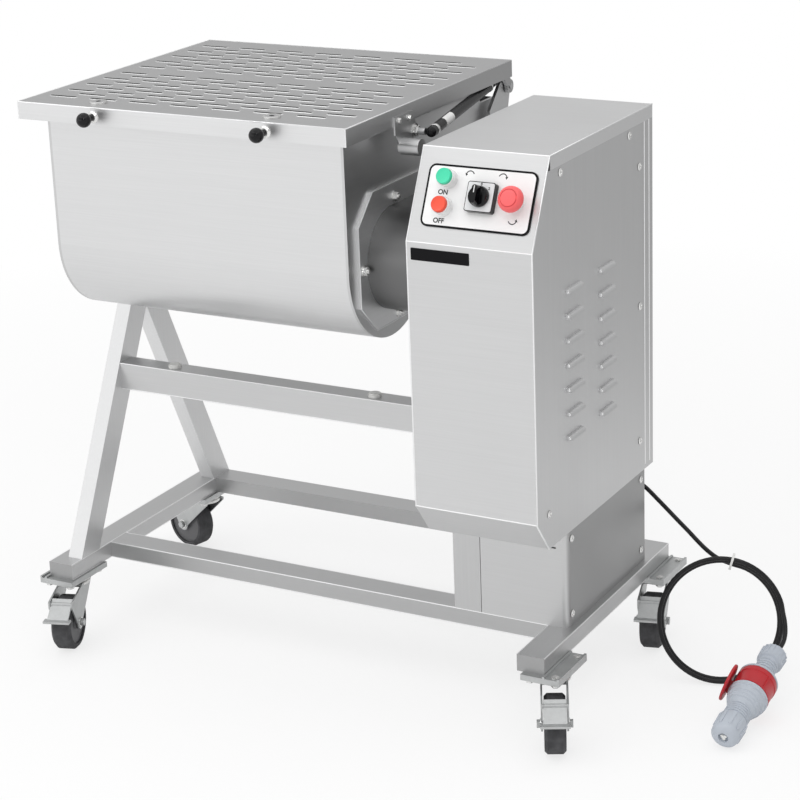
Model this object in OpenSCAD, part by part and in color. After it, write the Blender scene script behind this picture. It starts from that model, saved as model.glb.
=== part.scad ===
// Tilting twin-shaft meat mixer on a wheeled stand, with its drive cabinet and coiled mains lead.
// Sizes are measured from the left rail's outer face, the side rails' front ends and the floor.
// at_origin() then moves each piece so that the origin is under the middle of the whole machine.

/* [Base frame] */
// Depth of the base, front to back
base_w = 530; // [420:1:700]
// Width of each rail of the base
rail_w = 50; // [30:1:80]
// Height of each rail of the base
rail_h = 30; // [20:1:60]
// Wall of every square tube
tube_wall = 2; // [1:0.5:4]
// Front face of the long front rail
front_rail_y = 122; // [60:1:200]

/* [Stand] */
// Width of each stand leg, along the machine
leg_w = 30; // [20:1:60]
// Depth of each stand leg
leg_d = 50; // [30:1:80]
// Front edge of the front leg's foot
front_foot_y = 32; // [10:1:100]
// Place of the stand's tip, front to back
apex_y = 293; // [200:1:380]
// Drop from the tilting axis to the flat that the bearing plate lies on
apex_drop = 100; // [75:1:140]
// Rise from that flat to where the legs' outer edges would meet
apex_rise = 25; // [10:1:60]
// Height of the cross bar
bar_h = 50; // [30:1:80]
// Depth of the cross bar
bar_d = 40; // [25:1:80]
// Front face of the cross bar
bar_y = 194; // [150:1:260]
// Height of the stops on the cross bar
bumper_h = 6.7; // [4:0.1:30]

/* [Castors] */
// Diameter of each wheel
wheel_d = 100; // [60:1:160]
// Width of each wheel
wheel_w = 36; // [20:1:50]
// Height from the floor to the castor's top plate
castor_h = 122; // [80:1:190]
// Distance from the swivel to the axle, seen from above
castor_trail = 50; // [20:1:70]
// Length of a top plate, front to back
plate_l = 110; // [80:1:150]
// Width of a top plate
plate_w = 70; // [50:1:120]
// Thickness of a top plate and of the pad above it
plate_t = 5; // [3:0.5:10]
// Swivel of the left castors from the base's left face
left_swivel_x = 20; // [0:1:60]
// Swivel of the right castors from the base's right face
right_swivel_in = 4; // [0:1:60]
// Swivel of the front castors from the rails' front ends
front_swivel_y = 44; // [20:1:120]

/* [Tub] */
// Outer face of the tub's left end
tub_x = 70; // [60:1:120]
// Length of the tub over its end plates
tub_l = 583; // [400:1:800]
// Outer radius of each trough
trough_r = 138; // [100:1:180]
// Distance between the two paddle shafts
shaft_gap = 264; // [200:1:340]
// Place of the tilting axis, front to back
pivot_y = 288; // [220:1:360]
// Height of the tilting axis
pivot_z = 768; // [650:1:900]
// Sheet of the troughs
tub_sheet = 2; // [1:0.5:4]
// Thickness of the end plates
end_t = 5; // [3:0.5:10]
// Height of the tub's rim above the tilting axis
rim_up = 232; // [180:1:300]
// Drop from that rim to the rear wall's rim
rear_rim_drop = 42; // [10:1:80]

/* [Lid] */
// Overhang of the lid past the left end plate
lid_over_left = 30; // [15:1:60]
// Overhang of the lid past the right end plate
lid_over_right = 29; // [15:1:60]
// Overhang of the lid past the front wall
lid_over_front = 40; // [20:1:80]
// Overhang of the lid past the rear wall
lid_over_rear = 14; // [10:1:40]
// Depth of the folded edge
lid_depth = 30; // [15:1:50]
// Sheet of the lid
lid_sheet = 1.5; // [1:0.5:3]
// Gap from the tub's rim to the lid's inner face
lid_lift = 22; // [10:1:40]
// Length of one slot
slot_l = 52; // [20:1:80]
// Width of one slot
slot_w = 4.5; // [2:0.5:10]
// Distance between slots of one row
slot_step = 82; // [60:1:120]
// Distance between rows of slots
row_step = 26; // [14:1:40]
// Rows in each of the two fields
field_rows = 9; // [2:1:12]
// Slots in each row
row_slots = 7; // [2:1:10]

/* [Drive] */
// Tooth module of the gears
gear_module = 4; // [2:0.5:6]
// Teeth of the driving pinion
pinion_teeth = 26; // [16:2:40]
// Width of the gears
gear_w = 40; // [20:1:60]
// Radius of the paddle shafts
shaft_r = 15; // [10:1:25]
// Radius of the driving shaft
drive_r = 14; // [8:1:20]
// Radial running clearance of shafts and pins
run_gap = 0.05; // [0.01:0.01:0.1]
// Radius that the paddle tips sweep
sweep_r = 126; // [90:1:134]
// Paddles on each shaft
paddle_count = 5; // [2:1:8]

/* [Cabinet] */
// Space from the tub's right end to the drive cabinet
drive_gap = 115; // [108:1:160]
// Width of the drive cabinet
cab_w = 222; // [160:1:300]
// Front face of the drive cabinet
cab_front = 5; // [0:1:60]
// Rear face of the drive cabinet
cab_rear = 481; // [420:1:560]
// Top of the drive cabinet
cab_top = 984; // [900:1:1060]
// Depth of the sloped panel, front to back
slope_run = 69; // [40:1:120]
// Height of the sloped panel
slope_rise = 140; // [80:1:200]
// Sheet of the cabinet
cab_sheet = 2; // [1:0.5:3]
// Length of the lower box along the machine
low_w = 163; // [120:1:200]
// Distance from the lower box's rear to the cabinet's rear face
low_back = 34; // [10:1:60]
// Louvres in each column
louvre_rows = 7; // [2:1:10]
// Distance between louvres
louvre_step = 41.5; // [20:0.5:60]
// Length of a louvre
louvre_l = 54; // [30:1:90]

/* [Controls] */
// Diameter of the on and off buttons
button_d = 26; // [16:1:34]
// Travel of the on and off buttons
button_travel = 4; // [2:0.5:6]
// Diameter of the emergency mushroom
mushroom_d = 42; // [30:1:60]
// Side of the square switch plate
switch_side = 48; // [35:1:60]

/* [Mains lead] */
// Diameter of the lead
cord_d = 8; // [6:0.5:12]
// Radius of the lead's loops
coil_r = 100; // [60:1:140]
// Turns of the lead's loops
coil_turns = 2; // [1:1:4]

/* [Hidden] */
$fn = 48;
// Overrun of every cut
over = 1;
// Air left beside fixed neighbours
gap = 0.5;
// Colours as photographed
steel = "#c8cacb";
dark_steel = "#a9acad";
zinc = "#b9bcba";
black = "#1b1b1d";
rubber = "#2d2e30";
iron = "#7d8285";
white = "#f2f2ef";

// Places along the machine that follow from the tub and the cabinet
tub_end = tub_x + tub_l;
cab_x = tub_end + drive_gap;
cab_end = cab_x + cab_w;
cab_in = 10;
base_l = cab_end + cab_in;
// Middle of the whole machine, castors included, from the middle of its base
origin_shift = [18, 7];

// Base frame and castor heights
rail_z = castor_h + 2 * plate_t;
rail_top = rail_z + rail_h;
wheel_r = wheel_d / 2;
rear_swivel_y = base_w - front_swivel_y;
right_swivel_x = base_l - right_swivel_in;
swivels = [[left_swivel_x, front_swivel_y], [right_swivel_x, front_swivel_y],
    [left_swivel_x, rear_swivel_y], [right_swivel_x, rear_swivel_y]];
// Headings of the four castors at rest, in degrees from straight forward
castor_headings = [18, 26, -105, 14];
bolt_r = 4;
bolt_inset = 12;
nut_h = 6.5;
nut_r = 7.5;

// Castor forks
crown_r = 27;
crown_t = 5;
ring_r = 24;
ring_h = 8;
fork_t = 3;
fork_gap = 2;
fork_half = wheel_w / 2 + fork_gap;
swivel_gap = 0.3;
crown_z = castor_h - ring_h - crown_t - swivel_gap;
axle_r = 5;
axle_head_h = 7;
axle_head_r = 7;
boss_r = 13;
hub_r = 24;
hub_dish = 4;
tread_round = 5;
pedal_out = 30;
pedal_drop = 12;
pedal_u = castor_trail + pedal_out;
pedal_z = crown_z - pedal_drop;
pedal_r = 4;
pedal_back = 8;
pedal_up = 8;
pedal_fore = 28;
pedal_down = 18;
pedal_t = 4;
pedal_w = 49;
lip_l = 10;
rib_w = 4;
rib_h = 3;

// Stand legs
apex_seat_z = pivot_z - apex_drop;
apex_z = apex_seat_z + apex_rise;
leg_lean = (apex_y - front_foot_y) / (apex_z - rail_top);
rear_lean = (base_w - apex_y) / (apex_z - rail_top);
leg_x = rail_w - leg_w;
cap_t = 8;
cap_half = 52;
bumper_shares = [0.1544, 0.8731];
bumper_in = 19;
bumper_y = bar_y + bumper_in;
bumper_r = 12;
bumper_step = 2;

// Cabinet posts
post_w = 51;
post_in = 5;
post_back_in = 7;
post_x = cab_x + post_in;
low_in = 12;
low_right = base_l - low_in;
low_x = low_right - low_w;
low_rear = cab_rear - low_back;
low_d = low_rear - front_rail_y;
post_back_x = low_right - post_w - post_back_in;
post_rear_y = low_rear - cab_sheet - rail_w;
post_inset = 6;
weld = 0.3;
posts = [[post_x, front_rail_y], [post_x, post_rear_y], [post_back_x, front_rail_y + post_inset],
    [post_back_x, post_rear_y]];
post_drop = 34;
post_top = cab_top - post_drop;
beam_h = 40;
seat_drop = 70;
seat_z = pivot_z - seat_drop;

// Bearings and trunnions
stub_r = 20;
stub_x = 12;
trunnion_r = 30;
trunnion_gap = 3;
trunnion_in = 5;
trunnion_bore = drive_r + trunnion_gap;
trunnion_end = post_x + post_w - trunnion_in;
disc_r = 60;
disc_t = 6;
house_r = 42;
house_foot = 56;

// Tub
rim_z = pivot_z + rim_up;
rear_rim_z = rim_z - rear_rim_drop;
front_shaft_y = pivot_y - shaft_gap / 2;
rear_shaft_y = pivot_y + shaft_gap / 2;
front_wall_y = front_shaft_y - trough_r;
rear_wall_y = rear_shaft_y + trough_r;
rim_lip = 10;
notch_in = 58;
notch_y = rear_wall_y - notch_in;
flange_t = 6;
flange_up = 124;
flange_down = 112;
flange_out = 112;
flange_cut = 50;
housing_r = 88;
housing_x = tub_end + flange_t;
housing_l = 92;
housing_t = 3;
flange_bolt_r = 7;
flange_bolt_h = 7;
flange_bolt_gap = 3;
flange_bolt_in = 12;
flange_bolt_up = 100;
seal_r = 24;

// Gears and shafts
half_gap = shaft_gap / 2;
gear_teeth = 2 * half_gap / gear_module - pinion_teeth;
pressure = 20;
backlash_deg = 0.25;
root_share = 1.25;
gear_in = 12;
shaft_in = 1;
shaft_tail = 14;
drive_in = 26;
gear_x = housing_x + gear_in;
shaft_start = tub_x + shaft_in;
shaft_end = gear_x + gear_w + shaft_tail;
arm_r = 7;
blade_t = 5;
blade_w = 62;
blade_h = 34;
blade_turn = 35;
first_paddle = 62;

// Lid, measured from the tub
lid_x = tub_x - lid_over_left;
lid_end = tub_end + lid_over_right;
lid_front = front_wall_y - lid_over_front;
lid_rear = rear_wall_y + lid_over_rear;
lid_top = rim_z + lid_lift + lid_sheet;
lid_low = lid_top - lid_depth;
slot_margin_x = 27;
slot_margin_y = 60;
buffer_shares = [0.1938, 0.7804];
buffer_out = 4;
buffer_y = front_wall_y - buffer_out;
buffer_r = 12;
buffer_gap = 0.3;
bumper_top = pivot_z - pivot_y + front_wall_y - buffer_gap;
bar_top = bumper_top - bumper_h;
bar_low = bar_top - bar_h;
screw_head_r = 15;
screw_head_h = 3;
knob_shares = [0.2161, 0.7942];
knob_drop = 16;
knob_z = lid_top - knob_drop;
knob_ball_r = 12.5;
knob_reach = 26;
knob_base_r = 10;
knob_base_h = 5;
knob_stem_r = 6;

// Hinge of the lid and its ears
hinge_out = 15;
hinge_drop = 24;
hinge_y = rear_wall_y + hinge_out;
hinge_z = rim_z - hinge_drop;
ear_t = 6;
ear_gap = 11;
ear_r = 16;
ear_h = 116;
ear_w = 53;
ear_foot_in = 3;
ear_low = hinge_z - ear_h;
ear_front = rear_wall_y - ear_w;
lug_t = 6;
lug_r = 12;
lug_gap = 2;
lug_reach = 48;
hinge_pin_r = 5;
ear_x = tub_end + ear_gap;
lug_x = ear_x + ear_t + lug_gap;
left_ear_x = tub_x - ear_gap - ear_t;
left_lug_x = left_ear_x - lug_gap - lug_t;
ball_in = 20;
ball_up = 9;
ball_y = hinge_y - ball_in;
ball_z = hinge_z + ball_up;
ball_r = 5;

// Strut and its bracket on the lid's right edge
bracket_in = 155;
bracket_w = 53;
bracket_t = 3;
bracket_drop = 14;
bracket_h = 66;
tip_in = 27;
stud_in = 67;
stud_drop = 49;
plate_front = lid_front + bracket_in;
plate_back = plate_front + bracket_w;
bracket_top = lid_top - bracket_drop;
bracket_tip_y = plate_front + tip_in;
bracket_tip_z = bracket_top - bracket_h;
stud_y = plate_front + stud_in;
stud_z = lid_top - stud_drop;
stud_l = 20;
stud_r = 6;
stud_head_r = 8.5;
magnet_r = 14;
magnet_l = 34;
magnet_in = 25;
boss_y = plate_front + magnet_in;
boss_z = bracket_tip_z + magnet_r;
socket_gap = 1.5;
strut_r = 9;
rod_r = 4;
socket_r = 7;
socket_l = 18;
strut_x = lid_end + bracket_t + stud_l + socket_gap + socket_l / 2;
ball_out = 2;
ball_x = tub_end + ball_out;
rod_start_share = 0.45;

// Cabinet outline
slope_y = cab_front + slope_run;
slope_z = cab_top - slope_rise;
chamfer_z = 392;
chamfer_run = 43;
chamfer_rise = 56;
cap_skirt = 23;
cover_d = 48;
panel_rear = cab_rear - cover_d;
cab_low = chamfer_z - chamfer_rise;
panel_low = cab_low + cab_sheet;
low_front = front_rail_y;
low_round = 12;
low_lift = 2;
louvre_top = 747;
louvre_shares = [0.3046, 0.5756];
louvre_y = [for (s = louvre_shares) cab_front + s * (cab_rear - cab_front)];
louvre_r = 9;
louvre_t = 1.2;
screw_r = 7;
screw_h = 3;
// Screws of the right side and of the lower box, as shares of the depth and of the height there
side_screw_shares = [[0.2206, 0.9475], [0.792, 0.9475], [0.8803, 0.8519], [0.8824, 0.4722],
    [0.8782, 0.0926], [0.0945, 0.0926]];
low_screw_shares = [[0.0492, 0.908], [0.9477, 0.908], [0.9477, 0.1379], [0.0492, 0.1264]];

// Sloped panel pieces, along and down the slope from its upper left corner
slope_tilt = atan2(slope_rise, slope_run);
panel_u = 20;
panel_right_in = 12;
panel_v = 28;
panel_foot = 27;
panel_l = cab_w - panel_u - panel_right_in;
panel_h = norm([slope_run, slope_rise]) - panel_v - panel_foot;
panel_t = 2;
panel_round = 12;
// Middles of the controls, as shares of the control plate's length and height
on_share = [0.2, 0.2275];
off_share = [0.2, 0.6727];
switch_share = [0.5368, 0.4848];
stop_share = [0.8474, 0.4946];
collar_wall = 2;
collar_h = 12;
button_collar_h = 18;
collar_gap = 0.1;
button_proud = 6;
switch_h = 12;
knob_r = 17;
knob_h = 10;
grip_h = 14;
grip_w = 9;
spindle_r = 4;
stem_r = 11;
mushroom_h = 16;
mushroom_share = 0.8;
mushroom_lift = 6;

// Gearbox and motor inside the cabinet
box_gap = 6;
box_x = post_x + post_w + box_gap;
box_w = post_back_x - box_gap - box_x;
box_half = 58;
motor_r = box_w / 2;
drive_end = box_x + drive_in;
motor_l = 230;

// Mains lead: exit, hand-chosen free points and the standing loops
exit_in = 87;
exit_drop = 48;
exit_x = low_x + exit_in;
exit_z = cab_low - exit_drop;
gland_r = 11;
gland_l = 22;
gland_hex = 6;
gland_hex_r = 13;
cord_sides = 8;
// Direction that the sides of the swept tubes are counted from
cord_side = [0.1, 0.2, 1];
// Free stretch from the gland towards the loops
lead_points = [[912, 469, 288], [912, 481, 288], [917, 498, 287], [929, 511, 284], [945, 518, 278],
    [963, 517, 268], [984, 511, 255], [1008, 501, 242], [1037, 484, 230], [1065, 466, 220],
    [1090, 449, 211], [1113, 434, 204], [1136, 425, 197]];
// Free stretch from the loops to the coupler
tail_points = [[1262, 411, 122], [1269, 402, 107], [1274, 390, 94], [1276, 376, 85], [1275, 360, 79],
    [1272, 343, 75]];
coil_bottom = [1171, 351];
coil_lean = 22;
coil_face = 20.9;
coil_pitch = 9;
coil_growth = 4;
coil_lift = 2;
coil_start = 80;
coil_rings = 24;
coil_sides = 6;
coil_steps = coil_rings * coil_turns + 4;
tie_w = 4;
tie_t = 1;
tie_r = 15;
coupler_top = [1272, 343, 75];
coupler_low = [1270, 106, 27];
// Places along the coupler and radii there, as shares of its length and of its collar's radius
coupler_r = 35;
coupler_shares = [[0, 0], [0, 0.63], [0.12, 0.66], [0.13, 0.48], [0.3, 0.54], [0.31, 0.86], [0.34, 1],
    [0.52, 1], [0.53, 0.94], [0.62, 0.86], [0.7, 0.71], [0.8, 0.63], [0.81, 0.74], [0.97, 0.71],
    [1, 0.6], [1, 0]];
flap_r = 33;
flap_t = 5;
flap_share = 0.48;
flap_turn = 250;
flap_reach = 38;
flap_arm_w = 20;
flap_arm_in = 14;

// Shared shapes
module at_origin() {
    translate([origin_shift[0] - base_l / 2, origin_shift[1] - base_w / 2, 0]) children();
}

// A block between two corners
module block(x, y, z) {
    translate([x[0], y[0], z[0]]) cube([x[1] - x[0], y[1] - y[0], z[1] - z[0]]);
}

// A closed tube of rectangular section
module tube(x, y, z) {
    difference() {
        block(x, y, z);
        block([x[0] + tube_wall, x[1] - tube_wall], [y[0] + tube_wall, y[1] - tube_wall],
            [z[0] + tube_wall, z[1] - tube_wall]);
    }
}

// Round bars along each axis
module round_x(x, y, z, r) {
    translate([x[0], y, z]) rotate([0, 90, 0]) cylinder(h = x[1] - x[0], r = r);
}

module round_y(x, y, z, r) {
    translate([x, y[0], z]) rotate([-90, 0, 0]) cylinder(h = y[1] - y[0], r = r);
}

module round_z(x, y, z, r) {
    translate([x, y, z[0]]) cylinder(h = z[1] - z[0], r = r);
}

// An outline drawn as depth and height, given a length along the machine
module profile_x(x) {
    translate([x[0], 0, 0]) rotate([90, 0, 90]) linear_extrude(x[1] - x[0]) children();
}

// A rectangle with four round corners
module round_rect(size, r) {
    translate([r, 0]) square([size[0] - 2 * r, size[1]]);
    translate([0, r]) square([size[0], size[1] - 2 * r]);
    for (x = [r, size[0] - r]) {
        for (y = [r, size[1] - r]) translate([x, y]) circle(r);
    }
}

// Base frame
module side_rail(x) {
    color(steel) at_origin() tube([x, x + rail_w], [0, base_w], [rail_z, rail_top]);
}

module rail_left() {
    side_rail(0);
}

module rail_right() {
    side_rail(base_l - rail_w);
}

module rail_front() {
    color(steel) at_origin()
        tube([rail_w, base_l - rail_w], [front_rail_y, front_rail_y + rail_w], [rail_z, rail_top]);
}

module rail_rear() {
    color(steel) at_origin()
        tube([rail_w, base_l - rail_w], [base_w - rail_w, base_w], [rail_z, rail_top]);
}

// One leg's outline, outer edge from foot to tip, cut flat for the bearing plate
module leg_outline(foot, lean, inset) {
    run = leg_d * sqrt(1 + lean * lean) * sign(apex_y - foot);
    edge = inset * sqrt(1 + lean * lean) * sign(apex_y - foot);
    intersection() {
        polygon([[foot + edge, rail_top], [foot + run - edge, rail_top],
            [apex_y, apex_z - (abs(run) - abs(edge)) / lean], [apex_y, apex_z - abs(edge) / lean]]);
        translate([0, rail_top + inset]) square([base_w, apex_seat_z - rail_top - 2 * inset]);
    }
}

module leg(foot, lean) {
    color(steel) at_origin() difference() {
        profile_x([leg_x, leg_x + leg_w]) leg_outline(foot, lean, 0);
        profile_x([leg_x + tube_wall, leg_x + leg_w - tube_wall]) intersection() {
            leg_outline(foot, lean, tube_wall);
            translate([foot < apex_y ? 0 : apex_y + tube_wall, 0]) square([apex_y - tube_wall, apex_seat_z]);
        }
    }
}

module leg_front() {
    leg(front_foot_y, leg_lean);
}

module leg_rear() {
    leg(base_w, rear_lean);
}

// Plate that closes the stand's tip under the left bearing
module apex_plate() {
    color(steel) at_origin()
        block([leg_x, leg_x + leg_w], [pivot_y - cap_half, pivot_y + cap_half],
            [apex_seat_z, apex_seat_z + cap_t]);
}

module cross_bar() {
    color(steel) at_origin()
        tube([rail_w, post_x], [bar_y, bar_y + bar_d], [bar_low, bar_top]);
}

// Two domed white stops that the tipped tub's front wall rests on
module bar_bumpers() {
    color(white) at_origin() for (s = bumper_shares) {
        x = tub_x + s * tub_l;
        round_z(x, bumper_y, [bar_top, bumper_top - bumper_step], bumper_r);
        round_z(x, bumper_y, [bumper_top - bumper_step, bumper_top], bumper_r - bumper_step);
    }
}

// Four posts with the beams that carry the right bearing and the gearbox, and the cross rail below
module cabinet_posts() {
    color(dark_steel) at_origin() {
        for (p = posts) {
            tube([p[0], p[0] + post_w], [p[1], p[1] + rail_w], [rail_top, post_top]);
        }
        for (p = [posts[0], posts[2]]) {
            tube([p[0], p[0] + post_w], [p[1] + rail_w, post_rear_y], [seat_z - beam_h, seat_z]);
        }
        tube([post_x, post_x + post_w], [front_rail_y + rail_w, post_rear_y], [bar_low, bar_top]);
        tube([post_x, post_x + post_w], [front_rail_y + rail_w + weld, base_w - rail_w], [rail_z, rail_top]);
    }
}

// A bearing on a foot, bored for its shaft
module bearing(x, foot_z, bore) {
    color(iron) at_origin() difference() {
        union() {
            round_x(x, pivot_y, pivot_z, house_r);
            block(x, [pivot_y - house_r, pivot_y + house_r], [foot_z, pivot_z]);
            block(x, [pivot_y - house_foot, pivot_y + house_foot], [foot_z, foot_z + 2 * cap_t]);
        }
        round_x([x[0] - over, x[1] + over], pivot_y, pivot_z, bore);
    }
}

module bearing_left() {
    bearing([leg_x, leg_x + leg_w], apex_seat_z + cap_t, stub_r + run_gap);
}

module bearing_right() {
    bearing([post_x + cap_t, post_x + post_w - cap_t], seat_z, trunnion_r + run_gap);
}

// Castors
module at_plate_bolts() {
    for (s = swivels) {
        for (dx = [-1, 1]) {
            for (dy = [-1, 1]) {
                translate([s[0] + dx * (plate_w / 2 - bolt_inset), s[1] + dy * (plate_l / 2 - bolt_inset), 0])
                    children();
            }
        }
    }
}

module castor_plates() {
    color(zinc) at_origin() {
        for (s = swivels) {
            round_z(s[0], s[1], [castor_h - ring_h, castor_h], ring_r);
            difference() {
                block([s[0] - plate_w / 2, s[0] + plate_w / 2], [s[1] - plate_l / 2, s[1] + plate_l / 2],
                    [castor_h, rail_z]);
                at_plate_bolts() round_z(0, 0, [castor_h - over, castor_h + plate_t], bolt_r + run_gap);
            }
            outer = s[0] < base_l / 2 ? -plate_w / 2 : plate_w / 2 - rib_w;
            inner = s[0] < base_l / 2 ? -gap - rib_w : base_l + gap;
            for (x = [s[0] + outer, inner]) {
                block([x, x + rib_w], [s[1] - plate_l / 2, s[1] + plate_l / 2],
                    [rail_z - over, rail_z + rib_h]);
            }
        }
    }
}

// Turns a castor's own length, side and height to its place and heading
module at_castor(i) {
    at_origin() translate([swivels[i][0], swivels[i][1], 0]) rotate([0, 0, castor_headings[i] - 90])
        children();
}

module fork_side() {
    difference() {
        union() {
            polygon([[-crown_r, crown_z + crown_t], [crown_r, crown_z + crown_t],
                [pedal_u + boss_r / 2, pedal_z + boss_r / 2], [pedal_u + boss_r / 2, pedal_z - boss_r / 2],
                [castor_trail + boss_r, wheel_r], [castor_trail - boss_r, wheel_r],
                [-crown_r, crown_z]]);
            translate([castor_trail, wheel_r]) circle(boss_r);
        }
        translate([pedal_u, pedal_z]) circle(pedal_r + run_gap);
    }
}

module castor_fork(i) {
    color(zinc) at_castor(i) {
        round_z(0, 0, [crown_z, crown_z + crown_t], crown_r);
        for (side = [-1, 1]) {
            translate([0, side * (fork_half + fork_t / 2) + fork_t / 2, 0]) rotate([90, 0, 0])
                linear_extrude(fork_t) fork_side();
        }
        block([-crown_r / 2, crown_r], [-fork_half, fork_half], [crown_z, crown_z + crown_t]);
        round_y(castor_trail, [-fork_half - fork_t - axle_head_h, fork_half + fork_t + axle_head_h], wheel_r, axle_r);
        for (side = [-1, 1]) {
            translate([castor_trail, side * (fork_half + fork_t + axle_head_h / 2) + axle_head_h / 2, wheel_r])
                rotate([90, 0, 0]) cylinder(h = axle_head_h, r = axle_head_r, $fn = 6);
        }
    }
}

module castor_wheel(i) {
    half = wheel_w / 2;
    color(rubber) at_castor(i) translate([castor_trail, 0, wheel_r]) rotate([90, 0, 0])
        rotate_extrude() polygon([[axle_r + run_gap, -half], [hub_r / 2, -half], [hub_r / 2, hub_dish - half],
            [wheel_r - 2 * tread_round, hub_dish - half], [wheel_r - 2 * tread_round, -half],
            [wheel_r - tread_round, -half], [wheel_r, tread_round - half], [wheel_r, half - tread_round],
            [wheel_r - tread_round, half], [wheel_r - 2 * tread_round, half],
            [wheel_r - 2 * tread_round, half - hub_dish], [hub_r / 2, half - hub_dish], [hub_r / 2, half],
            [axle_r + run_gap, half]]);
}

// Brake pedal on a pin through the fork's sides: a sloped plate with a wide lip at its foot
module castor_pedal(i) {
    color(zinc) at_castor(i) {
        round_y(pedal_u, [-fork_half - fork_t, fork_half + fork_t], pedal_z, pedal_r);
        translate([pedal_u, fork_half - gap, pedal_z]) rotate([90, 0, 0]) linear_extrude(2 * (fork_half - gap))
            polygon([[-pedal_back, pedal_up - pedal_t], [-pedal_back, pedal_up], [pedal_fore, -pedal_down],
                [pedal_fore, -pedal_down - pedal_t]]);
        block([pedal_u + pedal_fore - pedal_t, pedal_u + pedal_fore + lip_l], [-pedal_w / 2, pedal_w / 2],
            [pedal_z - pedal_down - pedal_t, pedal_z - pedal_down]);
    }
}

module castor_fork_fl() {
    castor_fork(0);
}

module castor_fork_fr() {
    castor_fork(1);
}

module castor_fork_rl() {
    castor_fork(2);
}

module castor_fork_rr() {
    castor_fork(3);
}

module castor_pedal_fl() {
    castor_pedal(0);
}

module castor_pedal_fr() {
    castor_pedal(1);
}

module castor_pedal_rl() {
    castor_pedal(2);
}

module castor_pedal_rr() {
    castor_pedal(3);
}

module castor_wheel_fl() {
    castor_wheel(0);
}

module castor_wheel_fr() {
    castor_wheel(1);
}

module castor_wheel_rl() {
    castor_wheel(2);
}

module castor_wheel_rr() {
    castor_wheel(3);
}

// Cabinet
module cabinet_outline(inset) {
    polygon([[cab_front + inset, chamfer_z], [cab_front + inset, slope_z],
        [slope_y + inset, cab_top - inset], [cab_rear - inset, cab_top - inset],
        [cab_rear - inset, cab_low + inset], [cab_front + chamfer_run + inset, cab_low + inset]]);
}

// Front, slope, left side and floor, folded from one sheet
module housing_shell() {
    color(steel) at_origin() difference() {
        union() {
            difference() {
                profile_x([cab_x, cab_end]) cabinet_outline(0);
                profile_x([cab_x + cab_sheet, cab_end + over]) cabinet_outline(cab_sheet);
                block([cab_x - over, cab_end + over], [slope_y, cab_rear + over], [cab_low, cab_top + over]);
            }
            profile_x([cab_x, cab_x + cab_sheet]) intersection() {
                cabinet_outline(0);
                square([panel_rear, cab_top - cab_sheet]);
            }
            block([cab_x, cab_end], [cab_front + chamfer_run, panel_rear], [cab_low, cab_low + cab_sheet]);
        }
        round_x([cab_x - over, cab_x + cab_sheet + over], pivot_y, pivot_z, trunnion_r + trunnion_gap);
        block([cab_x - over, cab_x + cab_sheet + over], [bar_y - gap, bar_y + bar_d + gap],
            [bar_low - gap, bar_top + gap]);
        post_holes();
    }
}

// Openings for the posts in the cabinet's floor
module post_holes() {
    for (p = posts) {
        block([p[0] - gap, p[0] + post_w + gap], [p[1] - gap, p[1] + rail_w + gap],
            [cab_low - over, cab_low + cab_sheet + over]);
    }
}

module louvre(y, z) {
    difference() {
        round_y(cab_end, [y - louvre_l / 2, y + louvre_l / 2], z, louvre_r);
        round_y(cab_end, [y - louvre_l / 2 + louvre_t, y + louvre_l / 2 - louvre_t], z, louvre_r - louvre_t);
        block([cab_end - louvre_r - over, cab_end - cab_sheet], [y - louvre_l, y + louvre_l],
            [z - louvre_r - over, z + louvre_r + over]);
        block([cab_end - louvre_r, cab_end + louvre_r + over], [y - louvre_l, y + louvre_l],
            [z - louvre_r - over, z]);
    }
}

// Right side with two columns of pressed louvres
module side_panel() {
    color(dark_steel) at_origin() {
        difference() {
            profile_x([cab_end - cab_sheet, cab_end]) intersection() {
                cabinet_outline(cab_sheet);
                translate([cab_front, panel_low])
                    square([panel_rear - cab_front, cab_top - cap_skirt - panel_low]);
            }
            for (y = louvre_y) {
                for (i = [0:louvre_rows - 1]) {
                    block([cab_end - cab_sheet - over, cab_end + over],
                        [y - louvre_l / 2 + louvre_t, y + louvre_l / 2 - louvre_t],
                        [louvre_top - i * louvre_step, louvre_top - i * louvre_step + louvre_r - louvre_t]);
                }
            }
        }
        for (y = louvre_y) {
            for (i = [0:louvre_rows - 1]) louvre(y, louvre_top - i * louvre_step);
        }
    }
}

module top_cover() {
    color(steel) at_origin() difference() {
        block([cab_x, cab_end], [slope_y, cab_rear], [cab_top - cap_skirt, cab_top]);
        block([cab_x - over, cab_end - cab_sheet], [slope_y - over, cab_rear - cab_sheet],
            [cab_top - cap_skirt - over, cab_top - cab_sheet]);
    }
}

module rear_cover() {
    color(steel) at_origin() difference() {
        block([cab_x, cab_end], [panel_rear, cab_rear], [cab_low, cab_top - cap_skirt]);
        block([cab_x + cab_sheet, cab_end - cab_sheet], [panel_rear - over, cab_rear - cab_sheet],
            [cab_low + cab_sheet, cab_top]);
        post_holes();
    }
}

// The domed screws of the cabinet's right side, and the studs and nuts of the castor plates
module small_fasteners() {
    color(zinc) at_origin() {
        for (s = side_screw_shares) {
            round_x([cab_end, cab_end + screw_h], cab_front + s[0] * (cab_rear - cab_front),
                cab_low + s[1] * (cab_top - cab_low), screw_r);
        }
        for (s = low_screw_shares) {
            round_x([low_right, low_right + screw_h], low_front + s[0] * low_d,
                rail_top + s[1] * (cab_low - rail_top), screw_r);
        }
        at_plate_bolts() {
            translate([0, 0, castor_h - nut_h]) cylinder(h = nut_h, r = nut_r, $fn = 6);
            round_z(0, 0, [castor_h - nut_h, castor_h + plate_t], bolt_r);
        }
    }
}

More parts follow.
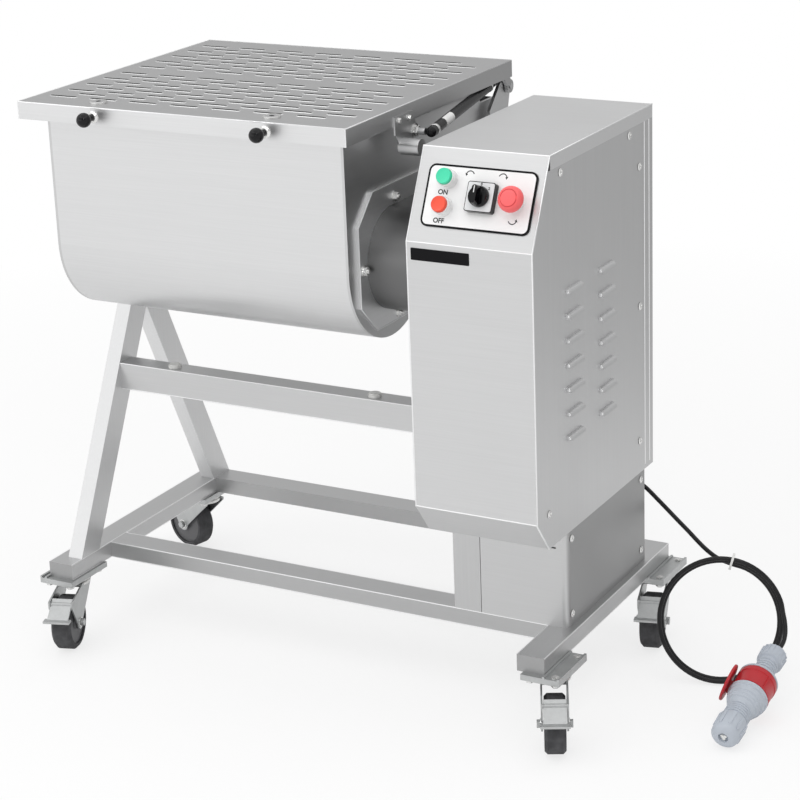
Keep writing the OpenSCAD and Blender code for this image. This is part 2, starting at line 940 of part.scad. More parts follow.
module low_outline(inset) {
    difference() {
        translate([low_x + inset, low_front + inset])
            square([low_right - low_x - 2 * inset, low_rear - low_front - 2 * inset]);
        translate([low_right - low_round, low_front]) difference() {
            translate([0, -over]) square(low_round + over);
            translate([0, low_round]) circle(low_round - inset);
        }
    }
}

// Electrical box between the base and the cabinet, bored for the lead's gland
module lower_box() {
    color(steel) at_origin() difference() {
        translate([0, 0, rail_top]) linear_extrude(cab_low - rail_top) low_outline(0);
        translate([0, 0, rail_top + low_lift]) linear_extrude(cab_low - rail_top) low_outline(cab_sheet);
        for (p = [posts[2], posts[3]]) {
            block([p[0] - gap, p[0] + post_w + gap], [p[1] - gap, p[1] + rail_w + gap],
                [rail_top - over, rail_top + low_lift + over]);
        }
        round_y(exit_x, [low_rear - 2 * cab_sheet, low_rear + over], exit_z, gland_r);
    }
}

module cable_gland() {
    color(black) at_origin() difference() {
        union() {
            round_y(exit_x, [low_rear - cab_sheet, low_rear + gland_l], exit_z, gland_r);
            translate([exit_x, low_rear, exit_z]) rotate([-90, 0, 0])
                cylinder(h = gland_hex, r = gland_hex_r, $fn = 6);
        }
        round_y(exit_x, [low_rear - 2 * cab_sheet, low_rear + gland_l + over], exit_z, cord_d / 2);
    }
}

// Places a piece on the slope: along it, down it and out of it
module on_slope(u, v) {
    at_origin() translate([cab_x, slope_y, cab_top]) rotate([slope_tilt, 0, 0]) translate([u, -v, 0])
        children();
}

// The same for a place given in shares of the control plate
module on_plate(place) {
    on_slope(panel_u + place[0] * panel_l, panel_v + place[1] * panel_h) children();
}

module control_plate() {
    color(white) on_slope(panel_u, panel_v + panel_h) linear_extrude(panel_t)
        round_rect([panel_l, panel_h], panel_round);
}

module collar(bore, high) {
    difference() {
        cylinder(h = high, r = bore + collar_wall);
        translate([0, 0, -over]) cylinder(h = high + 2 * over, r = bore + collar_gap);
    }
}

module switch_bases() {
    color(white) {
        for (place = [on_share, off_share]) on_plate(place) translate([0, 0, panel_t]) collar(button_d / 2, button_collar_h);
        on_plate(switch_share) translate([0, 0, panel_t]) linear_extrude(switch_h) difference() {
            translate([-switch_side / 2, -switch_side / 2]) round_rect([switch_side, switch_side], collar_wall);
            circle(spindle_r + run_gap);
        }
        on_plate(stop_share) translate([0, 0, panel_t]) collar(stem_r, collar_h);
    }
}

module push_button(place, tint) {
    color(tint) on_plate(place) translate([0, 0, panel_t + button_travel + gap])
        cylinder(h = button_collar_h + button_proud - button_travel, r = button_d / 2);
}

module on_button() {
    push_button(on_share, "#48d9a4");
}

module off_button() {
    push_button(off_share, "#f4553a");
}

module selector_knob() {
    color(black) on_plate(switch_share) translate([0, 0, panel_t + switch_h + buffer_gap]) {
        translate([0, 0, -switch_h / 2]) cylinder(h = switch_h / 2 + knob_h, r = spindle_r);
        cylinder(h = knob_h, r1 = knob_r, r2 = knob_r - collar_wall);
        translate([-grip_w / 2, -knob_r, 0]) cube([grip_w, 2 * knob_r, knob_h + grip_h]);
    }
}

module emergency_stop() {
    base = panel_t + collar_h + mushroom_lift;
    color("#f2706b") on_plate(stop_share) {
        translate([0, 0, panel_t + button_travel + gap]) cylinder(h = base - panel_t - button_travel - gap, r = stem_r);
        translate([0, 0, base]) rotate_extrude() polygon([[0, 0], [mushroom_d / 2 - collar_wall, 0],
            [mushroom_d / 2, mushroom_h / 4], [mushroom_d / 2, mushroom_h / 2],
            [mushroom_d / 2 - collar_wall, mushroom_h * mushroom_share], [mushroom_d / 4, mushroom_h],
            [0, mushroom_h]]);
    }
}

// Gearbox on its beams, bored for the driving shaft, with the motor hanging under it
module gearmotor() {
    color(iron) at_origin() {
        difference() {
            union() {
                block([box_x, box_x + box_w], [pivot_y - box_half, pivot_y + box_half],
                    [seat_z, pivot_z + box_half]);
                block([box_x, post_back_x + post_w], [pivot_y - box_half, pivot_y + box_half],
                    [seat_z, seat_z + cap_t]);
            }
            round_x([box_x - over, box_x + box_w + over], pivot_y, pivot_z, drive_r + run_gap);
        }
        round_z(box_x + box_w / 2, pivot_y, [seat_z - motor_l, seat_z], motor_r);
    }
}

// Tub
module trough_outline(inset, high_front, high_rear) {
    r = trough_r - inset;
    translate([front_shaft_y, pivot_z]) circle(r);
    translate([rear_shaft_y, pivot_z]) circle(r);
    translate([front_shaft_y - r, pivot_z]) square([shaft_gap + 2 * r, high_rear - pivot_z]);
    translate([front_shaft_y - r, pivot_z]) square([notch_y - front_shaft_y + r, high_front - pivot_z]);
}

module tub_trough() {
    color(steel) at_origin() {
        difference() {
            profile_x([tub_x + end_t, tub_end - end_t]) trough_outline(0, rear_rim_z, rear_rim_z);
            profile_x([tub_x, tub_end]) trough_outline(tub_sheet, rim_z + over, rim_z + over);
        }
        block([tub_x + end_t, tub_end - end_t], [front_wall_y, front_wall_y + tub_sheet],
            [rear_rim_z, rim_z]);
        block([tub_x, tub_end], [front_wall_y - rim_lip, front_wall_y + tub_sheet],
            [rim_z, rim_z + tub_sheet]);
    }
}

module end_plate(x) {
    difference() {
        profile_x([x, x + end_t]) trough_outline(0, rim_z, rear_rim_z);
        for (y = [front_shaft_y, rear_shaft_y]) round_x([x - over, x + end_t + over], y, pivot_z, seal_r);
    }
}

// Left end with its stub axle in the left bearing
module tub_end_left() {
    color(steel) at_origin() {
        end_plate(tub_x);
        round_x([tub_x - disc_t, tub_x], pivot_y, pivot_z, disc_r);
        round_x([stub_x, tub_x], pivot_y, pivot_z, stub_r);
    }
}

module tub_end_right() {
    color(steel) at_origin() end_plate(tub_end - end_t);
}

// Chamfered plate that the gear housing bolts to
module flange_outline() {
    half = half_gap + flange_out;
    translate([pivot_y, pivot_z]) polygon([[-half + flange_cut, flange_up], [half - flange_cut, flange_up],
        [half, flange_up - flange_cut], [half, flange_cut - flange_down], [half - flange_cut, -flange_down],
        [flange_cut - half, -flange_down], [-half, flange_cut - flange_down], [-half, flange_up - flange_cut]]);
}

module flange_plate() {
    bolts = [[half_gap + housing_r + flange_bolt_r + flange_bolt_gap, 0],
        [half_gap - flange_bolt_in, flange_bolt_up], [half_gap - flange_bolt_in, -flange_bolt_up]];
    color(steel) at_origin() {
        difference() {
            profile_x([tub_end, tub_end + flange_t]) flange_outline();
            for (y = [front_shaft_y, rear_shaft_y]) round_x([tub_end - over, housing_x + over], y, pivot_z, seal_r);
        }
        for (s = [-1, 1]) {
            for (b = bolts) {
                translate([housing_x, pivot_y + s * b[0], pivot_z + b[1]]) rotate([0, 90, 0])
                    cylinder(h = flange_bolt_h, r = flange_bolt_r, $fn = 6);
            }
        }
    }
}

module stadium(r) {
    translate([front_shaft_y, pivot_z]) circle(r);
    translate([rear_shaft_y, pivot_z]) circle(r);
    translate([front_shaft_y, pivot_z - r]) square([shaft_gap, 2 * r]);
}

// Closed gear housing with the right trunnion, through which the driving shaft runs
module gear_housing() {
    color(dark_steel) at_origin() difference() {
        union() {
            profile_x([housing_x, housing_x + housing_l]) stadium(housing_r);
            round_x([housing_x + housing_l - over, trunnion_end], pivot_y, pivot_z, trunnion_r);
        }
        profile_x([housing_x - over, housing_x + housing_l - housing_t]) stadium(housing_r - housing_t);
        round_x([housing_x, trunnion_end + over], pivot_y, pivot_z, trunnion_bore);
    }
}

module shaft_seals() {
    color(white) at_origin() for (y = [front_shaft_y, rear_shaft_y]) {
        for (x = [[tub_x, tub_x + end_t], [tub_end - end_t, housing_x]]) {
            difference() {
                round_x(x, y, pivot_z, seal_r);
                round_x([x[0] - over, x[1] + over], y, pivot_z, shaft_r + run_gap);
            }
        }
    }
}

// Gear teeth with involute flanks
function flank_deg(r, base) = let (c = sqrt(max(0, r * r / (base * base) - 1))) c * 180 / PI - atan(c);

function tooth_half(r, n) = let (pitch = gear_module * n / 2, base = pitch * cos(pressure))
    90 / n + flank_deg(pitch, base) - flank_deg(max(r, base), base) - backlash_deg;

module gear_outline(n, turn) {
    pitch = gear_module * n / 2;
    radii = [pitch - root_share * gear_module, pitch - gear_module / 2, pitch, pitch + gear_module / 2,
        pitch + gear_module];
    polygon([for (k = [0:n - 1]) let (mid = turn + k * 360 / n) each concat(
        [for (r = radii) [r * cos(mid - tooth_half(r, n)), r * sin(mid - tooth_half(r, n))]],
        [for (i = [4:-1:0]) let (r = radii[i]) [r * cos(mid + tooth_half(r, n)), r * sin(mid + tooth_half(r, n))]])]);
}

module drive_pinion() {
    color(iron) at_origin() {
        profile_x([gear_x, gear_x + gear_w]) translate([pivot_y, pivot_z]) gear_outline(pinion_teeth, 0);
        round_x([gear_x, drive_end], pivot_y, pivot_z, drive_r);
    }
}

// A paddle shaft with its gear and its turned blades
module rotor(y, start) {
    step = (tub_l - 2 * first_paddle) / (paddle_count - 1);
    color(dark_steel) at_origin() {
        round_x([shaft_start, shaft_end], y, pivot_z, shaft_r);
        profile_x([gear_x, gear_x + gear_w]) translate([y, pivot_z]) gear_outline(gear_teeth, 180 / gear_teeth);
        for (i = [0:paddle_count - 1]) {
            translate([tub_x + first_paddle + i * step, y, pivot_z]) rotate([start + 90 * i, 0, 0]) {
                cylinder(h = sweep_r - blade_h / 2, r = arm_r);
                translate([0, 0, sweep_r - blade_h]) rotate([0, 0, (i % 2 == 0 ? 1 : -1) * blade_turn])
                    translate([-blade_w / 2, -blade_t / 2, 0]) cube([blade_w, blade_t, blade_h - over]);
            }
        }
    }
}

module front_rotor() {
    rotor(front_shaft_y, 0);
}

module rear_rotor() {
    rotor(rear_shaft_y, 45);
}

// Ears at the rear corners of the end plates, each on a foot, with the hinge pin and the strut's ball
module ear_outline() {
    polygon([[ear_front, ear_low], [rear_wall_y - ear_foot_in, ear_low], [hinge_y + ear_r, hinge_z],
        [hinge_y, hinge_z + ear_r], [ball_y - ball_r, ball_z], [ear_front, hinge_z - 2 * ear_r]]);
    translate([hinge_y, hinge_z]) circle(ear_r);
}

module hinge_ears() {
    color(steel) at_origin() {
        profile_x([ear_x, ear_x + ear_t]) ear_outline();
        profile_x([left_ear_x, left_ear_x + ear_t]) ear_outline();
        for (x = [[tub_end, ear_x], [left_ear_x + ear_t, tub_x]]) {
            block(x, [ear_front, rear_wall_y - ear_t], [ear_low + 2 * ear_t, ear_low + 5 * ear_t]);
        }
        round_x([ear_x, lug_x + lug_t + lug_gap], hinge_y, hinge_z, hinge_pin_r);
        round_x([left_lug_x - lug_gap, left_ear_x + ear_t], hinge_y, hinge_z, hinge_pin_r);
        round_x([ball_x, ear_x], ball_y, ball_z, rod_r);
        translate([ball_x, ball_y, ball_z]) sphere(ball_r);
    }
}

// Lid
module slot() {
    half = (slot_l - slot_w) / 2;
    square([slot_l - slot_w, slot_w], center = true);
    for (x = [-half, half]) translate([x, 0]) circle(slot_w / 2);
}

// Slots of one field, alternate rows shifted by half a step
module slot_field(y) {
    for (row = [0:field_rows - 1]) {
        for (i = [0:row_slots - 1]) {
            translate([lid_x + slot_margin_x + slot_l / 2 + i * slot_step + (row % 2) * slot_step / 2,
                y + row * row_step]) slot();
        }
    }
}

module lid_panel() {
    color(steel) at_origin() {
        difference() {
            block([lid_x, lid_end], [lid_front, lid_rear], [lid_low, lid_top]);
            block([lid_x + lid_sheet, lid_end - lid_sheet], [lid_front + lid_sheet, lid_rear - lid_sheet],
                [lid_low - over, lid_top - lid_sheet]);
            translate([0, 0, lid_top - lid_sheet - over]) linear_extrude(lid_sheet + 2 * over) {
                slot_field(lid_front + slot_margin_y);
                slot_field(lid_rear - slot_margin_y - (field_rows - 1) * row_step);
            }
        }
        for (s = buffer_shares) {
            x = tub_x + s * tub_l;
            round_z(x, buffer_y, [lid_top, lid_top + screw_head_h], screw_head_r);
            round_z(x, buffer_y, [rim_z + tub_sheet + buffer_gap, lid_top - lid_sheet], buffer_r);
        }
    }
}

module lid_knobs() {
    color(black) at_origin() for (s = knob_shares) {
        x = tub_x + s * tub_l;
        round_y(x, [lid_front - knob_base_h, lid_front], knob_z, knob_base_r);
        round_y(x, [lid_front - knob_reach, lid_front - knob_base_h], knob_z, knob_stem_r);
        translate([x, lid_front - knob_reach, knob_z]) sphere(knob_ball_r);
    }
}

// Plates inside the lid's rear corners that turn on the hinge pins
module lug_outline() {
    difference() {
        union() {
            translate([hinge_y, hinge_z]) circle(lug_r);
            polygon([[hinge_y - lug_reach, lid_top - lid_sheet], [lid_rear - lid_sheet, lid_top - lid_sheet],
                [lid_rear - lid_sheet, lid_low], [hinge_y + lug_r, hinge_z], [hinge_y, hinge_z - lug_r]]);
        }
        translate([hinge_y, hinge_z]) circle(hinge_pin_r + run_gap);
    }
}

module lid_lugs() {
    color(steel) at_origin() {
        profile_x([lug_x, lug_x + lug_t]) lug_outline();
        profile_x([left_lug_x, left_lug_x + lug_t]) lug_outline();
    }
}

// Bracket with the strut's stud and the round sensor magnet
module strut_bracket() {
    color(steel) at_origin() {
        profile_x([lid_end, lid_end + bracket_t]) union() {
            polygon([[plate_front, bracket_top], [plate_back + stud_head_r, bracket_top],
                [stud_y + stud_head_r, stud_z], [bracket_tip_y, bracket_tip_z],
                [plate_front, lid_low - magnet_r]]);
            translate([stud_y, stud_z]) circle(stud_head_r);
            translate([boss_y, boss_z]) circle(magnet_r);
        }
        round_x([lid_end + bracket_t, lid_end + bracket_t + stud_l], stud_y, stud_z, stud_r);
        round_x([lid_end + bracket_t, lid_end + bracket_t + magnet_l], boss_y, boss_z, magnet_r);
    }
}

// The strut from its rear ball to its front socket, each piece given as shares of that line
strut_line = [strut_x - ball_x, stud_y - ball_y, stud_z - ball_z];
strut_length = norm(strut_line);

module along_strut() {
    along([ball_x, ball_y, ball_z], strut_line) children();
}

module strut_rod() {
    color(black) difference() {
        along_strut() {
            translate([0, 0, -socket_r]) cylinder(h = 2 * socket_r + socket_l, r = socket_r);
            translate([0, 0, socket_r]) cylinder(h = strut_length * rod_start_share, r = rod_r);
        }
        at_origin() round_x([ball_x - ball_r - run_gap, ear_x + over], ball_y, ball_z, ball_r + run_gap);
    }
}

module strut_body() {
    start = socket_l + 2 * socket_r + 2 * over;
    color(black) along_strut() difference() {
        union() {
            translate([0, 0, start]) cylinder(h = strut_length - start, r = strut_r);
            translate([0, 0, strut_length]) sphere(strut_r);
        }
        translate([0, 0, start - over])
            cylinder(h = strut_length * rod_start_share + 2 * socket_l, r = rod_r + run_gap);
    }
}

// Mains lead
function unit(v) = v / norm(v);

// Points of the loops: a ring that leans back, each turn outside and in front of the one before
coil_right = [cos(coil_face), sin(coil_face), 0];
coil_up = [-sin(coil_face) * sin(coil_lean), cos(coil_face) * sin(coil_lean), cos(coil_lean)];
coil_out = cross(coil_right, coil_up);
coil_mid = [coil_bottom[0], coil_bottom[1], cord_d / 2 + coil_lift] + coil_up * coil_r;

function coil_point(turn) = let (a = coil_start - 360 * turn, r = coil_r + coil_growth * turn)
    coil_mid + r * (cos(a) * coil_right + sin(a) * coil_up) + coil_pitch * turn * coil_out;

coil_path = [for (i = [0:coil_steps]) coil_point(i / coil_rings)];
coil_first = unit(coil_path[1] - coil_path[0]);
coil_last = unit(coil_path[coil_steps] - coil_path[coil_steps - 1]);
// Least gap between points of the loops half a turn or more apart
coil_gaps = [for (i = [0:coil_steps - coil_rings / 2]) for (k = [i + coil_rings / 2:coil_steps])
    norm(coil_path[i] - coil_path[k]) - cord_d];
echo(least_coil_gap = min(coil_gaps));

// A smooth curve through the chosen points
function bend(p, i, t) = let (a = p[max(0, i - 1)], b = p[i], c = p[i + 1], d = p[min(len(p) - 1, i + 2)])
    0.5 * ((2 * b) + (c - a) * t + (2 * a - 5 * b + 4 * c - d) * t * t + (3 * b - a - 3 * c + d) * t * t * t);

function smooth(p) = concat([for (i = [0:len(p) - 2]) each [bend(p, i, 0), bend(p, i, 0.5)]], [p[len(p) - 1]]);

// A tube swept along a path, with its end faces square to the two given directions
module cord_tube(path, sides, r, first, last) {
    count = len(path);
    dirs = [for (i = [0:count - 1]) i == 0 ? first : i == count - 1 ? last : unit(path[i + 1] - path[i - 1])];
    rings = [for (i = [0:count - 1]) let (side = unit(cross(dirs[i], cord_side)), top = cross(side, dirs[i]))
        for (k = [0:sides - 1]) path[i] + r * (cos(360 * k / sides) * side + sin(360 * k / sides) * top)];
    walls = [for (i = [0:count - 2]) for (k = [0:sides - 1]) let (n = (k + 1) % sides)
        each [[i * sides + k, i * sides + n, (i + 1) * sides + k],
            [i * sides + n, (i + 1) * sides + n, (i + 1) * sides + k]]];
    caps = [[for (k = [sides - 1:-1:0]) k], [for (k = [0:sides - 1]) (count - 1) * sides + k]];
    polyhedron(rings, concat(walls, caps));
}

module cord_lead() {
    color(black) at_origin()
        cord_tube(smooth(concat(lead_points, [coil_path[0]])), cord_sides, cord_d / 2, [0, 1, 0], coil_first);
}

module cord_coil() {
    color(black) at_origin() cord_tube(coil_path, coil_sides, cord_d / 2, coil_first, coil_last);
}

module cord_tail() {
    color(black) at_origin() cord_tube(smooth(concat([coil_path[coil_steps]], tail_points)), cord_sides,
        cord_d / 2, coil_last, unit(coupler_low - coupler_top));
}

// Places a piece at a point with its own height along a line
module along(point, line) {
    at_origin() translate(point) rotate([0, acos(line[2] / norm(line)), atan2(line[1], line[0])]) children();
}

module cord_tie() {
    color(white) along(coil_point(1), coil_path[coil_rings + 1] - coil_path[coil_rings]) difference() {
        cylinder(h = tie_w, r = tie_r, center = true);
        cylinder(h = tie_w + over, r = tie_r - tie_t, center = true);
    }
}

// Plug in its coupler with the round flap open on its hinge, lying on the floor
module coupler() {
    line = coupler_low - coupler_top;
    length = norm(line);
    color("#b9c3d2") along(coupler_top, line) {
        rotate_extrude() polygon([for (p = coupler_shares) [p[1] * coupler_r, p[0] * length]]);
        rotate([0, 0, flap_turn]) translate([0, 0, length * flap_share]) {
            translate([flap_reach, 0, 0]) rotate([0, 90, 0]) cylinder(h = flap_t, r = flap_r);
            translate([flap_reach - flap_arm_in, flap_arm_in, -flap_arm_w / 2])
                cube([flap_arm_in + flap_t / 2, flap_arm_w / 2, flap_arm_w]);
        }
    }
}

rail_left();
rail_right();
rail_front();
rail_rear();
leg_front();
leg_rear();
apex_plate();
cross_bar();
bar_bumpers();
cabinet_posts();
bearing_left();
bearing_right();
castor_plates();
lower_box();
housing_shell();
side_panel();
top_cover();
rear_cover();
control_plate();
switch_bases();
gearmotor();
cable_gland();
small_fasteners();
on_button();
off_button();
selector_knob();
emergency_stop();
tub_trough();
tub_end_left();
tub_end_right();
flange_plate();
gear_housing();
shaft_seals();
hinge_ears();
lid_panel();
lid_knobs();
lid_lugs();
strut_bracket();
strut_rod();
strut_body();
drive_pinion();
front_rotor();
rear_rotor();
castor_fork_fl();
castor_fork_fr();
castor_fork_rl();
castor_fork_rr();
castor_wheel_fl();
castor_wheel_fr();
castor_wheel_rl();
castor_wheel_rr();
castor_pedal_fl();
castor_pedal_fr();
castor_pedal_rl();
castor_pedal_rr();
cord_lead();
cord_coil();
cord_tail();
cord_tie();
coupler();
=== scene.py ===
# %% [markdown]
# A tilting meat mixer in brushed stainless steel.

# %% Load the frame
import math
import bmesh
import bpy
from mathutils import Matrix, Vector


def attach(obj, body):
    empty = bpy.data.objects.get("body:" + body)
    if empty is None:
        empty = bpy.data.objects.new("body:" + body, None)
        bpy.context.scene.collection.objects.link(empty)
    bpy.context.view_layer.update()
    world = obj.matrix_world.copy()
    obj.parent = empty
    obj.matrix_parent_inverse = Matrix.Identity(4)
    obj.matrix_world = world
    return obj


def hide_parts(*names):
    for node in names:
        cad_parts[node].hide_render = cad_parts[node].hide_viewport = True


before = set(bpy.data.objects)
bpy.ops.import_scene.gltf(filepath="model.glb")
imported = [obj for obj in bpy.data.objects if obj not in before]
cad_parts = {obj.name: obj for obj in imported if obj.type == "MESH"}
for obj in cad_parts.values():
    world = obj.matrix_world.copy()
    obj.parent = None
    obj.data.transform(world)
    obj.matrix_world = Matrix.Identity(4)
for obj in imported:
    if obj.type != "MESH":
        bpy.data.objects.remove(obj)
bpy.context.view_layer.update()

# %% [markdown]
# Sizes of the machine are easiest to read from its left rail, its front and the floor, in millimetres.
# One small function turns such a place into metres around the middle of the whole machine. Sizes that
# several cells need are named here.

# %% Places
MIDDLE_X, MIDDLE_Y = 482, 258


def place(x, y, z):
    """A point given from the left rail, the front and the floor, in the frame's metres."""
    return Vector(((x - MIDDLE_X) / 1000, (y - MIDDLE_Y) / 1000, z / 1000))


MM = 0.001
CABINET_X, CABINET_Y, CABINET_Z = (768, 990), (5, 481), (336, 984)
BEND_Z, SLOPE_Y = 844, 74
LID_X, LID_Y, LID_Z = (40, 682), (-22, 572), (993.5, 1023.5)
PIVOT_Y, PIVOT_Z = 288, 768
FLANGE_X = 659
CORNERS = ("fl", "fr", "rl", "rr")
print("front left corner of the base:", place(0, 0, 0))

# %% [markdown]
# The camera stands front right, a little above the lid, with a long lens: that keeps the uprights
# nearly parallel, as a catalogue photographer does. Its three axes come from two turns and a slight roll.

# %% Camera
def linked(name, data):
    """A new object in the scene."""
    made = bpy.data.objects.new(name, data)
    bpy.context.scene.collection.objects.link(made)
    return made


YAW, PITCH, ROLL = math.radians(28.93), math.radians(18.54), math.radians(-2.07)
CAMERA_SPOT = (1.9938, -3.3211, 1.8014)
back = Vector((math.sin(YAW) * math.cos(PITCH), -math.cos(YAW) * math.cos(PITCH), math.sin(PITCH)))
level = (-back).cross(Vector((0, 0, 1))).normalized()
above = level.cross(-back)
right = math.cos(ROLL) * level + math.sin(ROLL) * above
up = math.cos(ROLL) * above - math.sin(ROLL) * level
lens = bpy.data.cameras.new("camera")
lens.lens = 103.26
lens.sensor_width = 36
lens.shift_x = -0.0214
lens.shift_y = -0.0346
camera = linked("camera", lens)
camera_axes = Matrix((right, up, back)).transposed().to_4x4()
camera.matrix_world = Matrix.Translation(CAMERA_SPOT) @ camera_axes
bpy.context.scene.camera = camera
print("camera at", camera.matrix_world.translation)

# %% [markdown]
# Shader maths reads best as plain arithmetic. This class wraps a socket, so that `0.3 + 0.2 * grain`
# adds the Math nodes by itself. Everything else goes through one `node` method.

# %% Shader maths
class Wire:
    """A socket that can be added, multiplied and mixed."""

    def __init__(self, paint, socket):
        self.paint = paint
        self.socket = socket

    def math(self, operation, first, second):
        return self.paint.node("ShaderNodeMath", {"operation": operation}, {0: first, 1: second})

    def __add__(self, other):
        return self.math("ADD", self, other)

    def __radd__(self, other):
        return self.math("ADD", other, self)

    def __sub__(self, other):
        return self.math("SUBTRACT", self, other)

    def __rsub__(self, other):
        return self.math("SUBTRACT", other, self)

    def __mul__(self, other):
        return self.math("MULTIPLY", self, other)

    def __rmul__(self, other):
        return self.math("MULTIPLY", other, self)

    def scaled(self, factors):
        return self.paint.node("ShaderNodeVectorMath", {"operation": "MULTIPLY"}, {0: self, 1: factors})

    def reach(self):
        return self.paint.node("ShaderNodeVectorMath", {"operation": "LENGTH"}, {0: self}, "Value")


class Nodes:
    """Adds nodes of any kind to one tree."""

    def __init__(self, tree):
        self.tree = tree

    def node(self, kind, settings, inputs, output=0):
        made = self.tree.nodes.new(kind)
        for key, value in settings.items():
            setattr(made, key, value)
        for key, value in inputs.items():
            self.feed(made.inputs[key], value)
        return Wire(self, made.outputs[output])

    def feed(self, socket, value):
        if isinstance(value, Wire):
            self.tree.links.new(value.socket, socket)
        else:
            socket.default_value = value

    def noise(self, vector, scale, detail=3.0):
        return self.node("ShaderNodeTexNoise", {}, {"Vector": vector, "Scale": scale, "Detail": detail}, "Fac")

    def clear(self, value, low, high):
        return self.node("ShaderNodeMapRange", {}, {"Value": value, "From Min": low, "From Max": high})

    def part(self, vector, axis):
        return self.node("ShaderNodeSeparateXYZ", {}, {"Vector": vector}, axis)

    def rays(self):
        """What kind of ray arrives: the camera's, a mirrored one or one through glass."""
        return [self.node("ShaderNodeLightPath", {}, {}, f"Is {kind} Ray")
                for kind in ("Camera", "Glossy", "Transmission")]

    def blend(self, factor, first, second):
        made = self.tree.nodes.new("ShaderNodeMix")
        made.data_type = "RGBA"
        self.feed(made.inputs["Factor"], factor)
        self.feed(made.inputs[6], (*first, 1) if isinstance(first, tuple) else first)
        self.feed(made.inputs[7], (*second, 1) if isinstance(second, tuple) else second)
        return Wire(self, made.outputs[2])


class Paint(Nodes):
    """A new material with its Principled shader."""

    def __init__(self, name):
        self.material = bpy.data.materials.new(name)
        self.material.use_nodes = True
        super().__init__(self.material.node_tree)
        self.shader = self.tree.nodes["Principled BSDF"]

    def coat(self, **values):
        for name, value in values.items():
            self.feed(self.shader.inputs[name.replace("_", " ")], value)
        return self

    def place(self):
        return self.node("ShaderNodeTexCoord", {}, {}, "Object")

    def bump(self, height, strength, depth):
        return self.node("ShaderNodeBump", {}, {"Height": height, "Strength": strength, "Distance": depth})


def shade(colour, factor):
    return tuple(min(1, part * factor) for part in colour)


print("shader maths ready")

# %% [markdown]
# Stainless sheet is ground with a belt, which leaves fine scratches all in one direction. Noise squeezed
# hard along two axes gives such a grain. Slow clouds in the roughness are the smears of hands and cloths.

# %% Brushed stainless
STEEL = (0.64, 0.642, 0.645)


def brushed(name, tone, along, rough=0.32, depth=0.00005, front=1.0, side=1.0):
    """Belt-ground sheet, scratched along axis 0, 1 or 2. Front and side factors scale the tone of faces looking
    to the front or to the right: painted light and painted shade.
    """
    paint = Paint(name)
    squeeze = [420.0, 420.0, 420.0]
    squeeze[along] = 6.0
    spot = paint.place()
    grain = paint.noise(spot.scaled(tuple(squeeze)), 1.0, 4.0)
    cloud = paint.noise(spot, 4.0, 4.0)
    smear = paint.noise(spot, 17.0, 2.0)
    colour = paint.blend(grain, shade(tone, 0.94), shade(tone, 1.05))
    colour = paint.blend(cloud * 0.3, colour, shade(tone, 0.92))
    # Painted light and shade: faces that look to the front (-Y) or to the right (+X) are lightened or darkened
    # by their factor.
    facing = paint.node("ShaderNodeTexCoord", {}, {}, "Normal")
    for axis, low, high, factor in (("Y", -0.6, -0.9, front), ("X", 0.6, 0.9, side)):
        if factor != 1.0:
            painted_light_mask = paint.clear(paint.part(facing, axis), low, high)
            colour = paint.blend(painted_light_mask, colour, colour.scaled((factor,) * 3))
    paint.coat(Metallic=1.0, Base_Color=colour)
    paint.coat(Roughness=rough - 0.08 + 0.08 * grain + 0.1 * cloud + 0.04 * smear)
    paint.coat(Normal=paint.bump(grain, 0.3, depth))
    return paint.material


def steel(name, factor, along, rough, **faces):
    return brushed(name + " steel", shade(STEEL, factor), along, rough, **faces)


# One stainless steel in lighter and darker copies: each part's tone factor, with its front and side factors, is
# painted light and painted shade, set to how bright that part looks.
front_steel = steel("cabinet", 1.0, 0, 0.36)
cover_steel = steel("top cover", 1.22, 0, 0.36)
side_steel = steel("side panel", 1.02, 2, 0.4)
tube_steel = steel("frame tube", 0.90, 0, 0.34, front=0.84)
rail_steel = steel("side rail", 0.93, 1, 0.34, front=0.66)
leg_steel = steel("leg", 1.16, 2, 0.34, side=0.9)
post_steel = steel("cabinet post", 0.86, 2, 0.36)
box_steel = steel("lower box", 0.92, 0, 0.38, side=0.64)
trough_steel = steel("trough", 1.1, 0, 0.34)
end_steel = steel("tub end", 0.94, 1, 0.38)
flange_steel = steel("flange", 1.3, 1, 0.4)
bar_steel = steel("cross bar", 0.92, 0, 0.34)
lid_steel = steel("lid", 0.84, 0, 0.36, front=1.34, side=0.86)
# The gear housing's steel is very dark: painted shade for the gap it sits in.
shaded_housing_steel = steel("gear housing", 0.27, 1, 0.4)
# The fold line steel is lighter than the sheet: a painted highlight for folds, louvre ends and slot rims.
fold_highlight_steel = steel("fold line", 1.36, 0, 0.3)
print("stainless finishes:", 15)

# %% [markdown]
# Zinc plate is brighter and less even than stainless: it has a fine crystalline bloom. A cell pattern
# mixed lightly into the roughness and the relief gives that.

# %% Zinc, turned steel and castings
def zinc_plate(name, tone, rough):
    paint = Paint(name)
    spot = paint.place()
    crystals = paint.node("ShaderNodeTexVoronoi", {}, {"Vector": spot, "Scale": 240.0}, "Distance")
    cloud = paint.noise(spot, 40.0, 4.0)
    paint.coat(Metallic=1.0, Base_Color=paint.blend(cloud, shade(tone, 0.82), shade(tone, 1.1)))
    paint.coat(Roughness=rough + 0.12 * cloud + 0.1 * crystals)
    paint.coat(Normal=paint.bump(crystals + cloud, 0.12, 0.0002))
    return paint.material


def casting(name, tone):
    paint = Paint(name)
    spot = paint.place()
    sand = paint.noise(spot, 520.0, 3.0)
    dirt = paint.noise(spot, 12.0, 5.0)
    paint.coat(Base_Color=paint.blend(dirt, shade(tone, 0.7), shade(tone, 1.15)), Metallic=0.0)
    paint.coat(Roughness=0.42 + 0.25 * dirt, Normal=paint.bump(sand, 0.3, 0.0004))
    return paint.material


